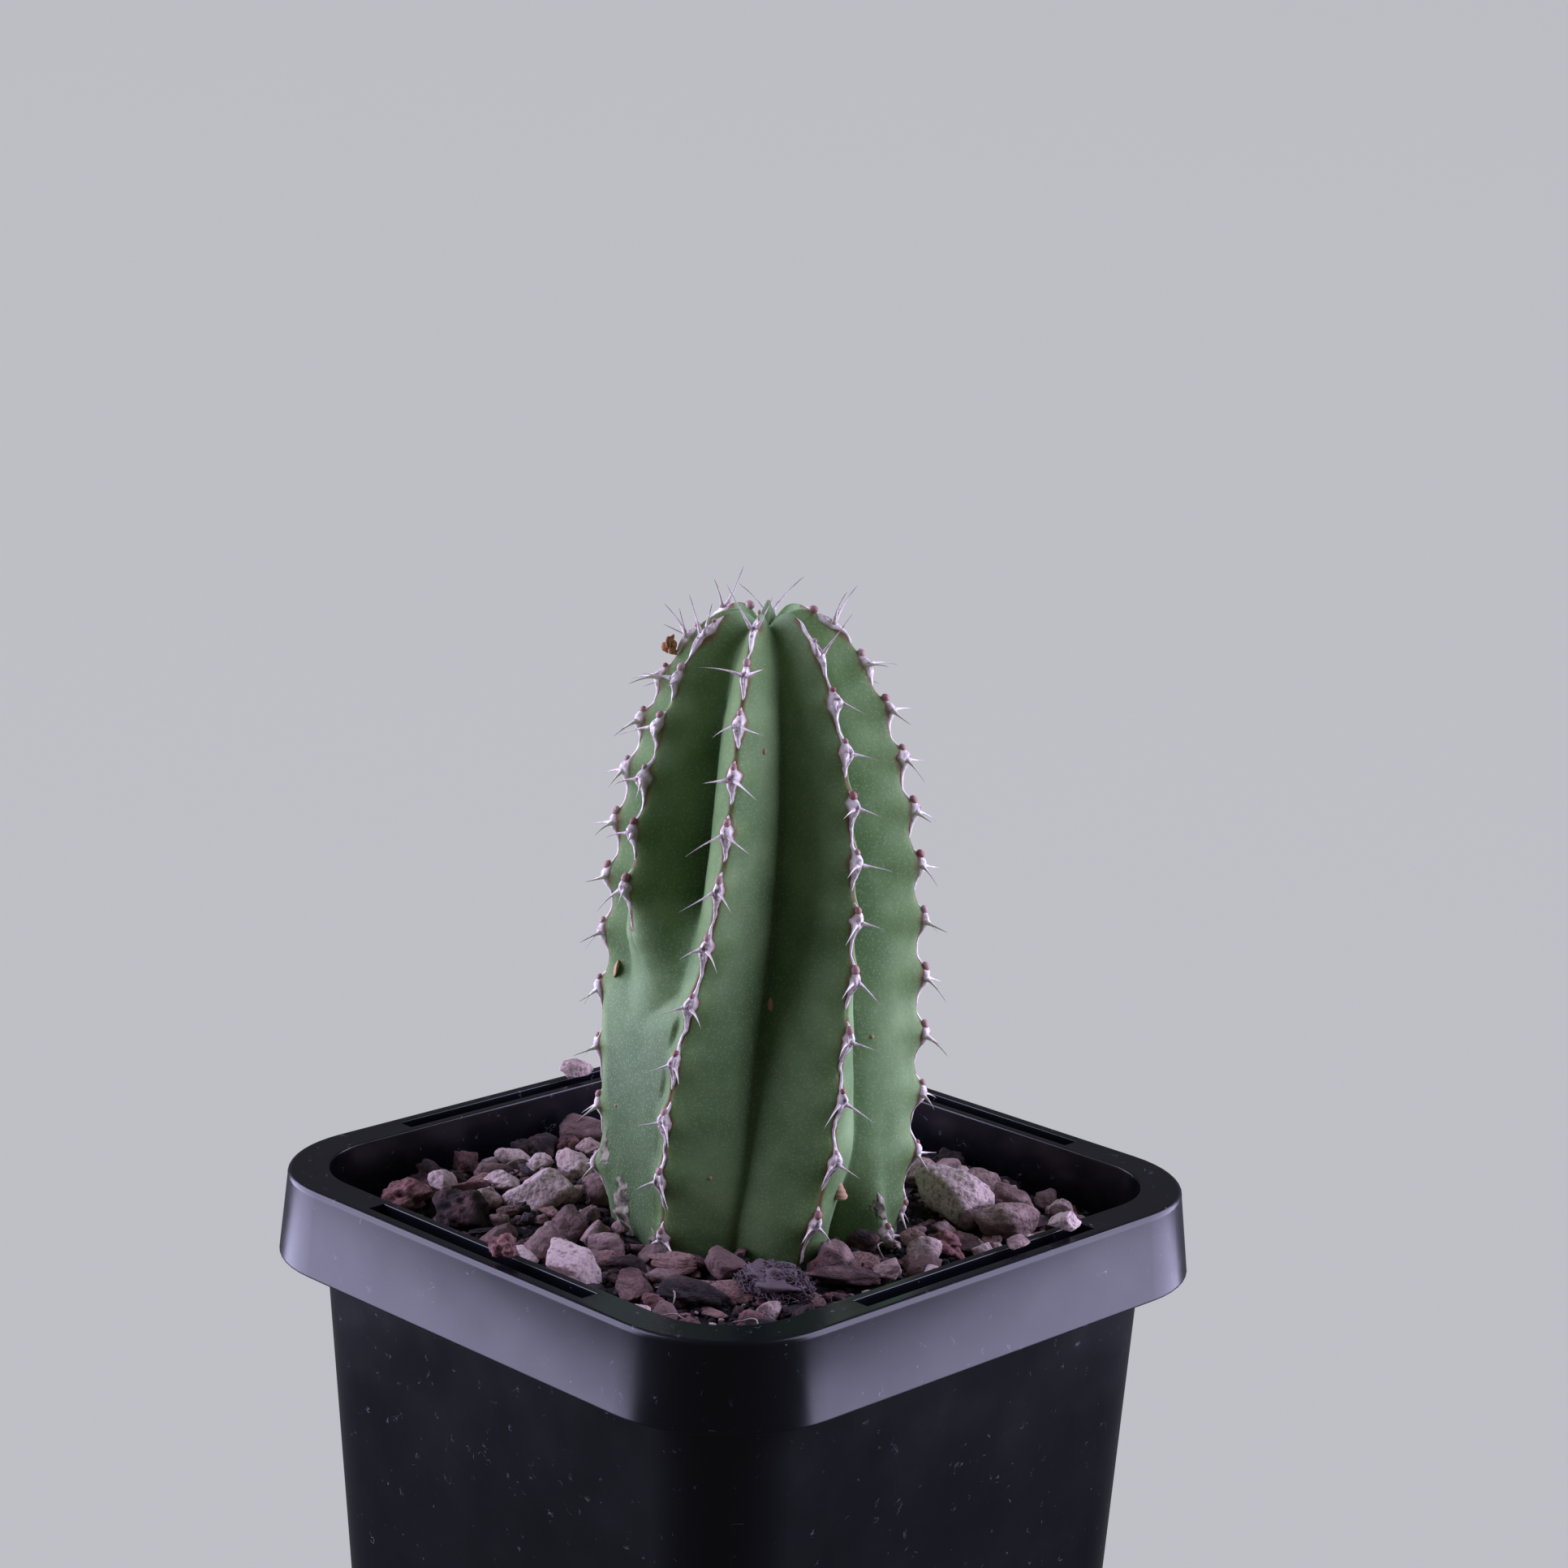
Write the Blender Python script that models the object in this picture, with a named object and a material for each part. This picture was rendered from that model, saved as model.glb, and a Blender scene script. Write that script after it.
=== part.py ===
"""A potted euphorbia: a square nursery pot, its potting mix, a ribbed spiny stem and a top dressing.

All named sizes are millimetres and all bearings are degrees, counter-clockwise from +X seen from above.
The origin is at the middle of the pot's underside and the pot's sides run along X and Y.
"""

import math
from collections import namedtuple

import bmesh
import bpy
from mathutils import Matrix, Vector, noise
from mathutils.bvhtree import BVHTree

MM = 0.001
GAP = 0.3  # clearance between pieces that touch

# The pot: a thin body, a flat ledge round its mouth and a collar hanging from the ledge.
POT_WIDTH = 70.0  # across the ledge, side to side
POT_HEIGHT = 80.0
POT_WALL = 0.9
POT_FLOOR = 1.2
FOOT_CHAMFER = 0.6
BODY_SETBACK = 3.2  # from the ledge's edge in to the body's outer face
BODY_TAPER = 0.06  # how far each side moves in per millimetre down
RIM_CORNER_RADIUS = 12.6
FOOT_CORNER_RADIUS = 6.5
LEDGE_THICKNESS = 1.0
LEDGE_FILLET = 0.5
COLLAR_DROP = 8.5
COLLAR_FLARE = 0.85
COLLAR_WALL = 0.9
SLOT_LENGTH = 31.0
SLOT_LIP = 1.4  # ledge left outside each slot
DRAIN_HOLE_DIAMETER = 7.0
DRAIN_HOLE_OFFSET = 13.0  # from the middle of the floor, along X and along Y
CORNER_STEPS = 6

# The potting mix.
SOIL_DEPTH = 5.0  # below the rim, round the stem
CORNER_DIP = 2.0  # how much lower the mix lies in the back and side corners
CORNER_SPAN = (0.9, 1.3)  # where the dip starts and ends, as shares of the way to the wall's middle
FRONT_BEARING = -45.0  # the corner where the mix stays level
FRONT_SPAN = (25.0, 70.0)  # how far round from it the mix stays level, and where the dip is full
SOIL_ROW_INSETS = (8.0, 5.0, 2.5, 0.0)  # of the surface's rows, from the pot's wall
SOCKET_GAP = 0.4  # between the buried foot and the mix; more than GAP, because both are faceted
DRESSING_HEIGHT = 2.5  # of the stones' upper halves, above the mix

# The stem.
STEM_X, STEM_Y = 1.3, 1.3
STEM_HEIGHT = 62.5  # above the potting mix
STEM_RADIUS = 16.5  # to the crest of a rib, where the stem is widest
STEM_BURIED = 7.5
WIDEST_HEIGHT = 19.0
DOME_POWERS = (2.4, 2.6)
FOOT_SLIMMING = 0.2  # share of the radius lost FOOT_SPAN below the widest height
FOOT_SPAN = 30.0
CREST_HALF_ANGLE = 24.0  # of a rib's wedge, on the upper stem
FOOT_HALF_ANGLE = 45.0
BIRTH_HALF_ANGLE = 65.0  # where a rib begins
BIRTH_RADIUS_SHARE = 0.82  # of the crest's radius, where a rib begins
WEDGE_HEIGHTS = (-2.0, 38.0)  # between which the wedge changes from the foot's to the upper stem's
CREST_ROUNDING = 2.0
FLANK_SWELLING = 0.06
FLANK_SPAN = 24.0  # from a crest to where its swelling ends
FAR_SIDE_LOSS = 0.6  # of a wedge's radius, so that it stays out of the other ribs
FAR_SIDE_SPAN = (30.0, 80.0)
GROOVE_SOFTNESS = 0.4
GROOVE_SOFTNESS_SHARE = 0.04  # of the radius, at most
TOOTH_DEPTH = 0.9
TOOTH_SHARPNESS = 1.5
TOOTH_FOOT_SPAN = (1.0, 5.0)  # the heights over which the teeth grow in
APEX_FADE = 9.0  # the depth below the apex over which the teeth grow in
RIB_SAMPLES = (0.0, 0.08, 0.3, 0.5, 0.7, 0.92)  # shares of the way to the next rib
RING_STEP = 1.5
DOME_DEPTH = 10.0  # of the closer rings below the apex
DOME_RINGS = 9

# The horny margins and their spines.
SHIELD_PITCH = 3.22  # the first shields' spacing; it grows down the rib
SHIELD_GROWTH = 1.2
MARGIN_THICKNESS = 0.5
MARGIN_WIDTH = 0.9
SHIELD_WIDTH = 1.8
MARGIN_FACE_SHARE = 0.7  # the outer face's width, as a share of the strip's
MARGIN_BIRTH_SHARE = 0.7  # of a new rib's fade, where its margin begins
MARGIN_TOP_RADIUS = 4.2
MARGIN_FOOT_HEIGHT = 5.0  # above the potting mix
SPINE_LENGTH = 2.8
SPINE_DIRECTION = (0.8, 0.55, -0.2)  # sideways, outwards and up the rib

# bearing: mean bearing; drift: how far it swings either way; drift_height: where it swings;
# phase: shifts the shields along the rib; start: height where the rib begins, or None;
# girth: its crest radius as a share of the stem's.
Rib = namedtuple("Rib", "bearing drift drift_height phase start girth")
DRIFT_SPAN = 13.0
RIB_FADE = 9.0
RIBS = (
    Rib(-134.6, 0.0, 26.0, 0.90, None, 0.945),
    Rib(-99.6, 0.0, 26.0, 0.70, 27.0, 1.0),
    Rib(-67.6, 12.0, 26.5, 0.42, None, 1.0),
    Rib(-11.6, 5.0, 25.5, 0.00, None, 1.0),
    Rib(40.4, 0.0, 26.0, 0.50, None, 1.0),
    Rib(87.5, 3.0, 26.0, 0.20, None, 1.0),
    Rib(134.5, 0.0, 26.0, 0.65, None, 1.0),
    Rib(179.8, 2.0, 26.0, 0.35, None, 1.0),
)

# Dry remnants: a flower near the top of the first rib and a flower stalk by the foot of the fourth.
FLOWER_DROP = 4.5  # below the apex
FLOWER_WIDTH = 1.8
FLOWER_RISE = 2.2
STALK_HEIGHT = 6.5  # above the potting mix
STALK_LENGTH = 2.4
STALK_RADII = (0.9, 0.45)
STALK_STANDOFF = 1.6  # from the stem's skin to the stalk's axis
STALK_TURN = 11.0  # round from the rib's crest
STALK_LEAN = 20.0

# The top dressing: (bearing, share of the way from the stem to the pot's wall, length, width, yaw).
PUMICE = (
    (-139, 0.22, 5.4, 4.4, 20), (-149, 0.56, 2.8, 2.5, 0), (172, 0.90, 4.4, 4.0, 70),
    (-167, 0.35, 3.8, 3.4, 0), (-109, 0.72, 5.8, 2.8, -50), (-98, 0.55, 4.0, 3.6, 30),
    (-109, 0.27, 3.6, 3.2, 0), (-89, 0.18, 3.0, 2.6, 10), (-83, 0.68, 5.6, 4.0, -10),
    (-46, 0.14, 3.6, 3.2, 40), (76, 0.32, 4.2, 3.6, 0), (67, 0.72, 4.2, 3.8, 20),
    (53, 0.15, 6.6, 5.2, 20), (55, 0.62, 3.4, 3.0, 0), (37, 0.51, 5.4, 4.0, 60),
    (-2, 0.46, 2.7, 2.5, 0), (45, 0.76, 3.0, 2.6, 30), (103, 0.45, 4.6, 3.8, 15),
    (121, 0.35, 5.2, 4.4, 80), (142, 0.55, 4.2, 3.6, 35), (153, 0.22, 4.4, 4.0, 50),
)
LAVA = (
    (-134, 0.82, 4.8, 4.2, 0), (-124, 0.64, 6.4, 4.6, -30), (-173, 0.93, 4.2, 3.6, 60),
    (-149, 0.95, 4.0, 3.4, 20), (22, 0.43, 3.6, 3.0, 0), (85, 1.0, 3.6, 3.0, 10),
    (121, 0.86, 4.6, 4.0, 45), (104, 0.95, 3.4, 3.0, 0),
)
BARK = (
    (-67, 0.50, 8.0, 3.0, -38), (-64, 0.08, 4.4, 2.8, 20), (-53, 0.46, 5.0, 4.0, 0),
    (-14, 0.30, 7.4, 3.4, 55), (70, 1.0, 4.6, 3.0, 30), (160, 0.66, 5.2, 3.0, 75),
)
CLUMP = (-34, 0.30, 6.6, 5.0, 10)
# Each kind's height as a share of its width, and how lumpy it is.
KINDS = {"pumice": (0.78, 0.5), "lava": (0.75, 0.8), "bark": (0.5, 0.7), "root_clump": (0.6, 0.8)}
GRAIN_LUMPINESS = 0.5
FLOWER_LUMPINESS = 0.9
LUMP_SCALE = 1.4
LUMP_SHIFT = (3.7, 1.9, 5.3)  # per stone, so that no two are alike
LEDGE_SEED, FLOWER_SEED = 70, 90
# Loose grains on the ledge: (side's bearing, distance along the side, length, width, height, yaw).
LEDGE_GRAINS = {
    "ledge_pumice_1": (180, -7.5, 3.8, 2.2, 2.0, 80),
    "ledge_pumice_2": (0, 12.0, 3.0, 2.6, 2.2, 10),
    "ledge_pumice_3": (0, 5.5, 2.6, 2.2, 1.0, 90),
    "ledge_lava_1": (-90, 3.7, 3.6, 3.0, 2.6, 0),
}


def smoothstep(low, high, value):
    """0 below low, 1 above high, and an S-curve between."""
    share = min(max((value - low) / (high - low), 0.0), 1.0)
    return share * share * (3.0 - 2.0 * share)


def wrapped(degrees):
    """The angle brought between -180 and 180 degrees."""
    return (degrees + 180.0) % 360.0 - 180.0


# ---------------------------------------------------------------- scene and meshes


def clear_scene():
    for obj in list(bpy.data.objects):
        bpy.data.objects.remove(obj, do_unlink=True)


def material(name, colour, roughness, metallic=0.0):
    made = bpy.data.materials.get(name)
    if made is None:
        made = bpy.data.materials.new(name)
        made.use_nodes = True
        shader = made.node_tree.nodes["Principled BSDF"]
        shader.inputs["Base Color"].default_value = (*colour, 1.0)
        shader.inputs["Roughness"].default_value = roughness
        shader.inputs["Metallic"].default_value = metallic
    return made


def add_object(name, bm, finish, smooth_angle=None):
    """Turns a bmesh in millimetres into a scene object in metres."""
    bmesh.ops.scale(bm, vec=(MM, MM, MM), verts=bm.verts)
    mesh = bpy.data.meshes.new(name)
    bm.to_mesh(mesh)
    bm.free()
    if smooth_angle is not None:
        mesh.shade_smooth()
        mesh.set_sharp_from_angle(angle=math.radians(smooth_angle))
    obj = bpy.data.objects.new(name, mesh)
    bpy.context.scene.collection.objects.link(obj)
    if finish is not None:
        mesh.materials.append(finish)
    return obj


def loft(bm, rings):
    """Joins rings of equally many points with quads and returns the rings' vertices."""
    made = [[bm.verts.new(point) for point in ring] for ring in rings]
    for lower, upper in zip(made, made[1:]):
        for i in range(len(lower)):
            j = (i + 1) % len(lower)
            bm.faces.new((lower[i], lower[j], upper[j], upper[i]))
    return made


# ---------------------------------------------------------------- pot


def rounded_square(half, radius, z):
    """Points round a square with rounded corners, counter-clockwise."""
    points = []
    for corner in range(4):
        middle = math.radians(45.0 + 90.0 * corner)
        cx = math.copysign(half - radius, math.cos(middle))
        cy = math.copysign(half - radius, math.sin(middle))
        for step in range(CORNER_STEPS + 1):
            angle = math.radians(90.0 * corner + 90.0 * step / CORNER_STEPS)
            points.append(Vector((cx + radius * math.cos(angle), cy + radius * math.sin(angle), z)))
    return points


def rim_ring(inset, z):
    """A ring of the ledge or the collar, inset from the ledge's edge."""
    return rounded_square(POT_WIDTH / 2 - inset, RIM_CORNER_RADIUS - inset, z)


def body_half(z):
    """Half of the body's outside width at a height."""
    return POT_WIDTH / 2 - BODY_SETBACK - BODY_TAPER * (POT_HEIGHT - z)


def body_ring(inset, z):
    """A ring of the body, inset from its outer face."""
    top_radius = RIM_CORNER_RADIUS - BODY_SETBACK
    radius = FOOT_CORNER_RADIUS + (top_radius - FOOT_CORNER_RADIUS) * z / POT_HEIGHT
    return rounded_square(body_half(z) - inset, radius - inset, z)


def slot_width():
    return BODY_SETBACK - SLOT_LIP


def build_pot():
    ledge_under = POT_HEIGHT - LEDGE_THICKNESS
    collar_foot = POT_HEIGHT - COLLAR_DROP
    fillet = LEDGE_FILLET * (1.0 - math.sqrt(0.5))
    rings = (
        body_ring(FOOT_CHAMFER, 0.0),
        body_ring(0.0, FOOT_CHAMFER),
        body_ring(0.0, ledge_under),
        rim_ring(COLLAR_WALL, ledge_under),
        rim_ring(COLLAR_WALL - COLLAR_FLARE, collar_foot),
        rim_ring(-COLLAR_FLARE, collar_foot),
        rim_ring(0.0, POT_HEIGHT - LEDGE_FILLET),
        rim_ring(fillet, POT_HEIGHT - fillet),
        rim_ring(LEDGE_FILLET, POT_HEIGHT),
        body_ring(POT_WALL, POT_HEIGHT),
        body_ring(POT_WALL, POT_FLOOR),
    )
    bm = bmesh.new()
    made = loft(bm, rings)
    bm.faces.new(reversed(made[0]))
    bm.faces.new(made[-1])
    finish = material("black_plastic", (0.012, 0.013, 0.02), 0.28)
    pot = add_object("nursery_pot", bm, finish, smooth_angle=35.0)
    for name, cutter in (("pot_slots", slot_cutter()), ("pot_drain_holes", drain_cutter())):
        cut = pot.modifiers.new(name, "BOOLEAN")
        cut.operation = "DIFFERENCE"
        cut.object = cutter


def slot_cutter():
    """Four bars, one through the ledge along each side."""
    bm = bmesh.new()
    middle = POT_WIDTH / 2 - SLOT_LIP - slot_width() / 2
    height = 3.0 * LEDGE_THICKNESS
    for quarter in range(4):
        turn = Matrix.Rotation(math.radians(90.0 * quarter), 4, "Z")
        place = turn @ Matrix.Translation((middle, 0.0, POT_HEIGHT))
        size = Matrix.Diagonal((slot_width(), SLOT_LENGTH, height, 1.0))
        bmesh.ops.create_cube(bm, size=1.0, matrix=place @ size)
    return helper("slot_cutter", bm)


def drain_cutter():
    """Four round bars through the floor."""
    bm = bmesh.new()
    for x in (-DRAIN_HOLE_OFFSET, DRAIN_HOLE_OFFSET):
        for y in (-DRAIN_HOLE_OFFSET, DRAIN_HOLE_OFFSET):
            bmesh.ops.create_cone(
                bm,
                cap_ends=True,
                segments=20,
                radius1=DRAIN_HOLE_DIAMETER / 2,
                radius2=DRAIN_HOLE_DIAMETER / 2,
                depth=3.0 * POT_FLOOR,
                matrix=Matrix.Translation((x, y, POT_FLOOR / 2)),
            )
    return helper("drain_cutter", bm)


def helper(name, bm):
    obj = add_object(name, bm, None)
    obj.hide_render = True
    obj.display_type = "WIRE"
    return obj


# ---------------------------------------------------------------- stem


def crest_bearing(rib, height):
    return rib.bearing + rib.drift * math.tanh((height - rib.drift_height) / DRIFT_SPAN)


def stem_profile(height):
    """The crest radius without teeth: a superellipse dome above the widest height, slimmer below."""
    if height < WIDEST_HEIGHT:
        return STEM_RADIUS * (1.0 - FOOT_SLIMMING * ((WIDEST_HEIGHT - height) / FOOT_SPAN) ** 2)
    share = min((height - WIDEST_HEIGHT) / (STEM_HEIGHT - WIDEST_HEIGHT), 1.0)
    rise, fall = DOME_POWERS
    return STEM_RADIUS * (1.0 - share**rise) ** (1.0 / fall)


def shield_count(rib, height):
    """How many shields lie above a height; a whole number at each shield."""
    return (max(STEM_HEIGHT - height, 0.0) / SHIELD_PITCH) ** (1.0 / SHIELD_GROWTH) - rib.phase


def tooth(rib, height):
    """1 at each shield, 0 halfway between, fading out at the apex and at the foot."""
    wave = (0.5 + 0.5 * math.cos(math.tau * shield_count(rib, height))) ** TOOTH_SHARPNESS
    return wave * smoothstep(0.0, APEX_FADE, STEM_HEIGHT - height) * smoothstep(*TOOTH_FOOT_SPAN, height)


def rib_strength(rib, height):
    """1 where the rib stands out in full, 0 below the height where it begins."""
    if rib.start is None:
        return 1.0
    return smoothstep(rib.start, rib.start + RIB_FADE, height)


def lobe_radius(rib, bearing, height):
    """One rib's own outline: a wedge with its edge on the crest and gently swollen flanks."""
    strength = rib_strength(rib, height)
    taper = smoothstep(*WEDGE_HEIGHTS, height)
    half_angle = FOOT_HALF_ANGLE + (CREST_HALF_ANGLE - FOOT_HALF_ANGLE) * taper
    half_angle = BIRTH_HALF_ANGLE + (half_angle - BIRTH_HALF_ANGLE) * strength
    away = abs(wrapped(bearing - crest_bearing(rib, height)))
    rounded = math.hypot(away, CREST_ROUNDING) - CREST_ROUNDING
    crest = rib.girth * stem_profile(height) * (BIRTH_RADIUS_SHARE + (1.0 - BIRTH_RADIUS_SHARE) * strength)
    apex_fade = smoothstep(0.0, APEX_FADE, STEM_HEIGHT - height)
    crest -= TOOTH_DEPTH * (1.0 - tooth(rib, height)) * strength * apex_fade
    flank_turn = min(half_angle + rounded, 90.0)
    wedge = math.sin(math.radians(half_angle)) / math.sin(math.radians(flank_turn))
    swelling = 1.0 + FLANK_SWELLING * math.sin(math.pi * min(away / FLANK_SPAN, 1.0))
    far_side = 1.0 - FAR_SIDE_LOSS * smoothstep(*FAR_SIDE_SPAN, away)
    return max(crest, 0.0) * wedge * swelling * far_side


def stem_radius(bearing, height):
    """The ribs' outlines joined by a soft maximum."""
    lobes = [lobe_radius(rib, bearing, height) for rib in RIBS]
    highest = max(lobes)
    softness = min(GROOVE_SOFTNESS, GROOVE_SOFTNESS_SHARE * highest + 1e-6)
    return highest + softness * math.log(sum(math.exp((lobe - highest) / softness) for lobe in lobes))


def ring_bearings(height):
    """Sample bearings round the stem; every len(RIB_SAMPLES)th one is a crest."""
    crests = [crest_bearing(rib, height) for rib in RIBS]
    crests.append(crests[0] + 360.0)
    for this, following in zip(crests, crests[1:]):
        for share in RIB_SAMPLES:
            yield this + share * (following - this)


def stem_ring(height, growth=0.0):
    """The stem's outline at a height above the potting mix, grown outwards."""
    z = POT_HEIGHT - SOIL_DEPTH + height
    points = []
    for bearing in ring_bearings(height):
        radius = stem_radius(bearing, height) + growth
        angle = math.radians(bearing)
        points.append(Vector((STEM_X + radius * math.cos(angle), STEM_Y + radius * math.sin(angle), z)))
    return points


def buried_heights():
    """Heights of the buried rings, foot first and the potting mix's surface last."""
    count = max(round(STEM_BURIED / RING_STEP), 2)
    return [-STEM_BURIED * (1.0 - i / count) for i in range(count + 1)]


def dome_heights():
    """Heights above the potting mix: even steps, then closer ones over the dome."""
    dome_foot = STEM_HEIGHT - DOME_DEPTH
    count = round(dome_foot / RING_STEP)
    straight = [dome_foot * i / count for i in range(1, count + 1)]
    dome = [
        dome_foot + DOME_DEPTH * math.sin(math.pi / 2 * i / (DOME_RINGS + 1))
        for i in range(1, DOME_RINGS + 1)
    ]
    return straight + dome


def build_stem():
    bm = bmesh.new()
    rings = loft(bm, [stem_ring(height) for height in buried_heights() + dome_heights()])
    bm.faces.new(reversed(rings[0]))
    apex = bm.verts.new((STEM_X, STEM_Y, POT_HEIGHT - SOIL_DEPTH + STEM_HEIGHT))
    for i, vertex in enumerate(rings[-1]):
        bm.faces.new((vertex, rings[-1][(i + 1) % len(rings[-1])], apex))
    finish = material("green_skin", (0.09, 0.2, 0.085), 0.5)
    add_object("euphorbia_stem", bm, finish, smooth_angle=60.0)


# ---------------------------------------------------------------- horny margins and spines


def margin_heights(rib):
    """The stem's ring heights that this rib's margin spans, foot first."""
    lowest = MARGIN_FOOT_HEIGHT if rib.start is None else rib.start + MARGIN_BIRTH_SHARE * RIB_FADE
    return [
        height
        for height in dome_heights()
        if height >= lowest and stem_profile(height) >= MARGIN_TOP_RADIUS
    ]


def crest_point(rib, height):
    bearing = crest_bearing(rib, height)
    radius = stem_radius(bearing, height)
    angle = math.radians(bearing)
    z = POT_HEIGHT - SOIL_DEPTH + height
    return Vector((STEM_X + radius * math.cos(angle), STEM_Y + radius * math.sin(angle), z))


def margin_section(rib, heights, index):
    """Four corners of the strip at one height, with the outward and sideways directions."""
    here = crest_point(rib, heights[index])
    below = crest_point(rib, heights[max(index - 1, 0)])
    above = crest_point(rib, heights[min(index + 1, len(heights) - 1)])
    along = (above - below).normalized()
    angle = math.radians(crest_bearing(rib, heights[index]))
    side = Vector((-math.sin(angle), math.cos(angle), 0.0))
    side = (side - along * side.dot(along)).normalized()
    out = side.cross(along).normalized()
    half = (MARGIN_WIDTH + (SHIELD_WIDTH - MARGIN_WIDTH) * tooth(rib, heights[index])) / 2
    inner = here + out * GAP
    outer = here + out * (GAP + MARGIN_THICKNESS)
    face = half * MARGIN_FACE_SHARE
    corners = (inner + side * half, inner - side * half, outer - side * face, outer + side * face)
    return corners, out, side, along


def shield_stations(rib, heights):
    """Indices of the stations just under each shield."""
    counts = [shield_count(rib, height) for height in heights]
    return [i for i in range(len(heights) - 1) if math.floor(counts[i]) != math.floor(counts[i + 1])]


def build_margin(number, rib):
    """A strip along the rib's crest; at each shield both of its sides are drawn out to a spine's tip."""
    sideways, outwards, upwards = SPINE_DIRECTION
    heights = margin_heights(rib)
    sections = [margin_section(rib, heights, i) for i in range(len(heights))]
    bm = bmesh.new()
    rings = loft(bm, [section[0] for section in sections])
    bm.faces.new(reversed(rings[0]))
    bm.faces.new(rings[-1])
    bm.faces.ensure_lookup_table()
    for station in shield_stations(rib, heights):
        _, out, side, along = sections[station]
        for edge, sign in ((1, -1.0), (3, 1.0)):
            corners = {rings[station][edge], rings[station][(edge + 1) % 4]}
            corners |= {rings[station + 1][edge], rings[station + 1][(edge + 1) % 4]}
            face = next(face for face in bm.faces if set(face.verts) == corners)
            reach = side * sign * sideways + out * outwards + along * upwards
            tip = face.calc_center_median() + reach.normalized() * SPINE_LENGTH
            bmesh.ops.poke(bm, faces=[face])["verts"][0].co = tip
    finish = material("horn", (0.55, 0.5, 0.52), 0.45)
    add_object(f"horn_margin_{number}", bm, finish)


# ---------------------------------------------------------------- potting mix


def wall_distance(bearing, inset, z):
    """From the pot's middle to the pot's inner wall along a bearing, less an inset."""
    ring = body_ring(POT_WALL + inset, z)
    ray = Vector((math.cos(math.radians(bearing)), math.sin(math.radians(bearing))))
    for i, start in enumerate(ring):
        end = ring[(i + 1) % len(ring)]
        edge = Vector((end.x - start.x, end.y - start.y))
        across = ray.x * edge.y - ray.y * edge.x
        if abs(across) < 1e-9:
            continue
        distance = (start.x * edge.y - start.y * edge.x) / across
        along = (start.x * ray.y - start.y * ray.x) / across
        if distance > 0.0 and -1e-6 <= along <= 1.0 + 1e-6:
            return distance
    raise ValueError(f"no wall along bearing {bearing}")


def soil_z(x, y):
    """Height of the mix's surface: level round the stem, lower in every corner but the front one."""
    reach = math.hypot(x, y) / wall_distance(0.0, 0.0, POT_HEIGHT - SOIL_DEPTH)
    corner = smoothstep(*CORNER_SPAN, reach)
    bearing = math.degrees(math.atan2(y, x))
    front = 1.0 - smoothstep(*FRONT_SPAN, abs(wrapped(bearing - FRONT_BEARING)))
    return POT_HEIGHT - SOIL_DEPTH - CORNER_DIP * corner * (1.0 - front)


def build_potting_mix():
    """Fills the pot round the stem's foot, and returns a tree for resting stones on the surface."""
    surface = []
    for inset in SOIL_ROW_INSETS:
        ring = body_ring(POT_WALL + GAP + inset, POT_HEIGHT - SOIL_DEPTH)
        surface.append([Vector((point.x, point.y, soil_z(point.x, point.y))) for point in ring])
    foot = body_ring(POT_WALL + GAP, POT_FLOOR + GAP)
    socket = [stem_ring(height, growth=SOCKET_GAP) for height in buried_heights()]
    for point in socket[0]:
        point.z -= GAP
    bm = bmesh.new()
    outside = loft(bm, [foot] + surface[::-1])
    inside = loft(bm, socket[::-1])
    bm.faces.new(reversed(outside[0]))
    bm.faces.new(inside[-1])
    rims = [edge for edge in bm.edges if edge.is_boundary]
    bmesh.ops.bridge_loops(bm, edges=rims)
    bmesh.ops.recalc_face_normals(bm, faces=bm.faces)
    tree = BVHTree.FromBMesh(bm)
    finish = material("potting_soil", (0.03, 0.02, 0.016), 0.95)
    add_object("potting_mix", bm, finish)
    return tree


# ---------------------------------------------------------------- top dressing


def stone_mesh(length, width, height, seed, lumpiness):
    """A closed lump with the given overall sizes, standing on z = 0, middle above the origin."""
    bm = bmesh.new()
    bmesh.ops.create_icosphere(bm, subdivisions=2, radius=1.0)
    shift = seed * Vector(LUMP_SHIFT)
    for vertex in bm.verts:
        vertex.co *= 1.0 + lumpiness * noise.noise(vertex.co * LUMP_SCALE + shift)
    for axis, size in enumerate((length, width, height)):
        low = min(vertex.co[axis] for vertex in bm.verts)
        high = max(vertex.co[axis] for vertex in bm.verts)
        for vertex in bm.verts:
            vertex.co[axis] = (vertex.co[axis] - low) / (high - low) * size
            if axis < 2:
                vertex.co[axis] -= size / 2
    return bm


def place_stone(name, sizes, x, y, z, yaw, seed, finish, lumpiness):
    bm = stone_mesh(*sizes, seed, lumpiness)
    obj = add_object(name, bm, finish, smooth_angle=30.0)
    obj.location = (x * MM, y * MM, z * MM)
    obj.rotation_euler = (0.0, 0.0, math.radians(yaw))


def half_extent(length, width, yaw, direction):
    """Half of an ellipse's extent along a direction."""
    turn = math.radians(direction - yaw)
    return math.hypot(length * math.cos(turn), width * math.sin(turn)) / 2


def stem_reach(bearing, breadth):
    """How far the stem's foot reaches from the pot's middle into a lane of the given breadth."""
    lane = math.radians(bearing)
    shift = STEM_X * math.cos(lane) + STEM_Y * math.sin(lane)
    spread = math.degrees(breadth / 2 / STEM_RADIUS)
    turns = [spread * step / 4 for step in range(-4, 5)]
    reaches = [stem_radius(bearing + turn, DRESSING_HEIGHT) * math.cos(math.radians(turn)) for turn in turns]
    return shift + max(reaches)


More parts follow.
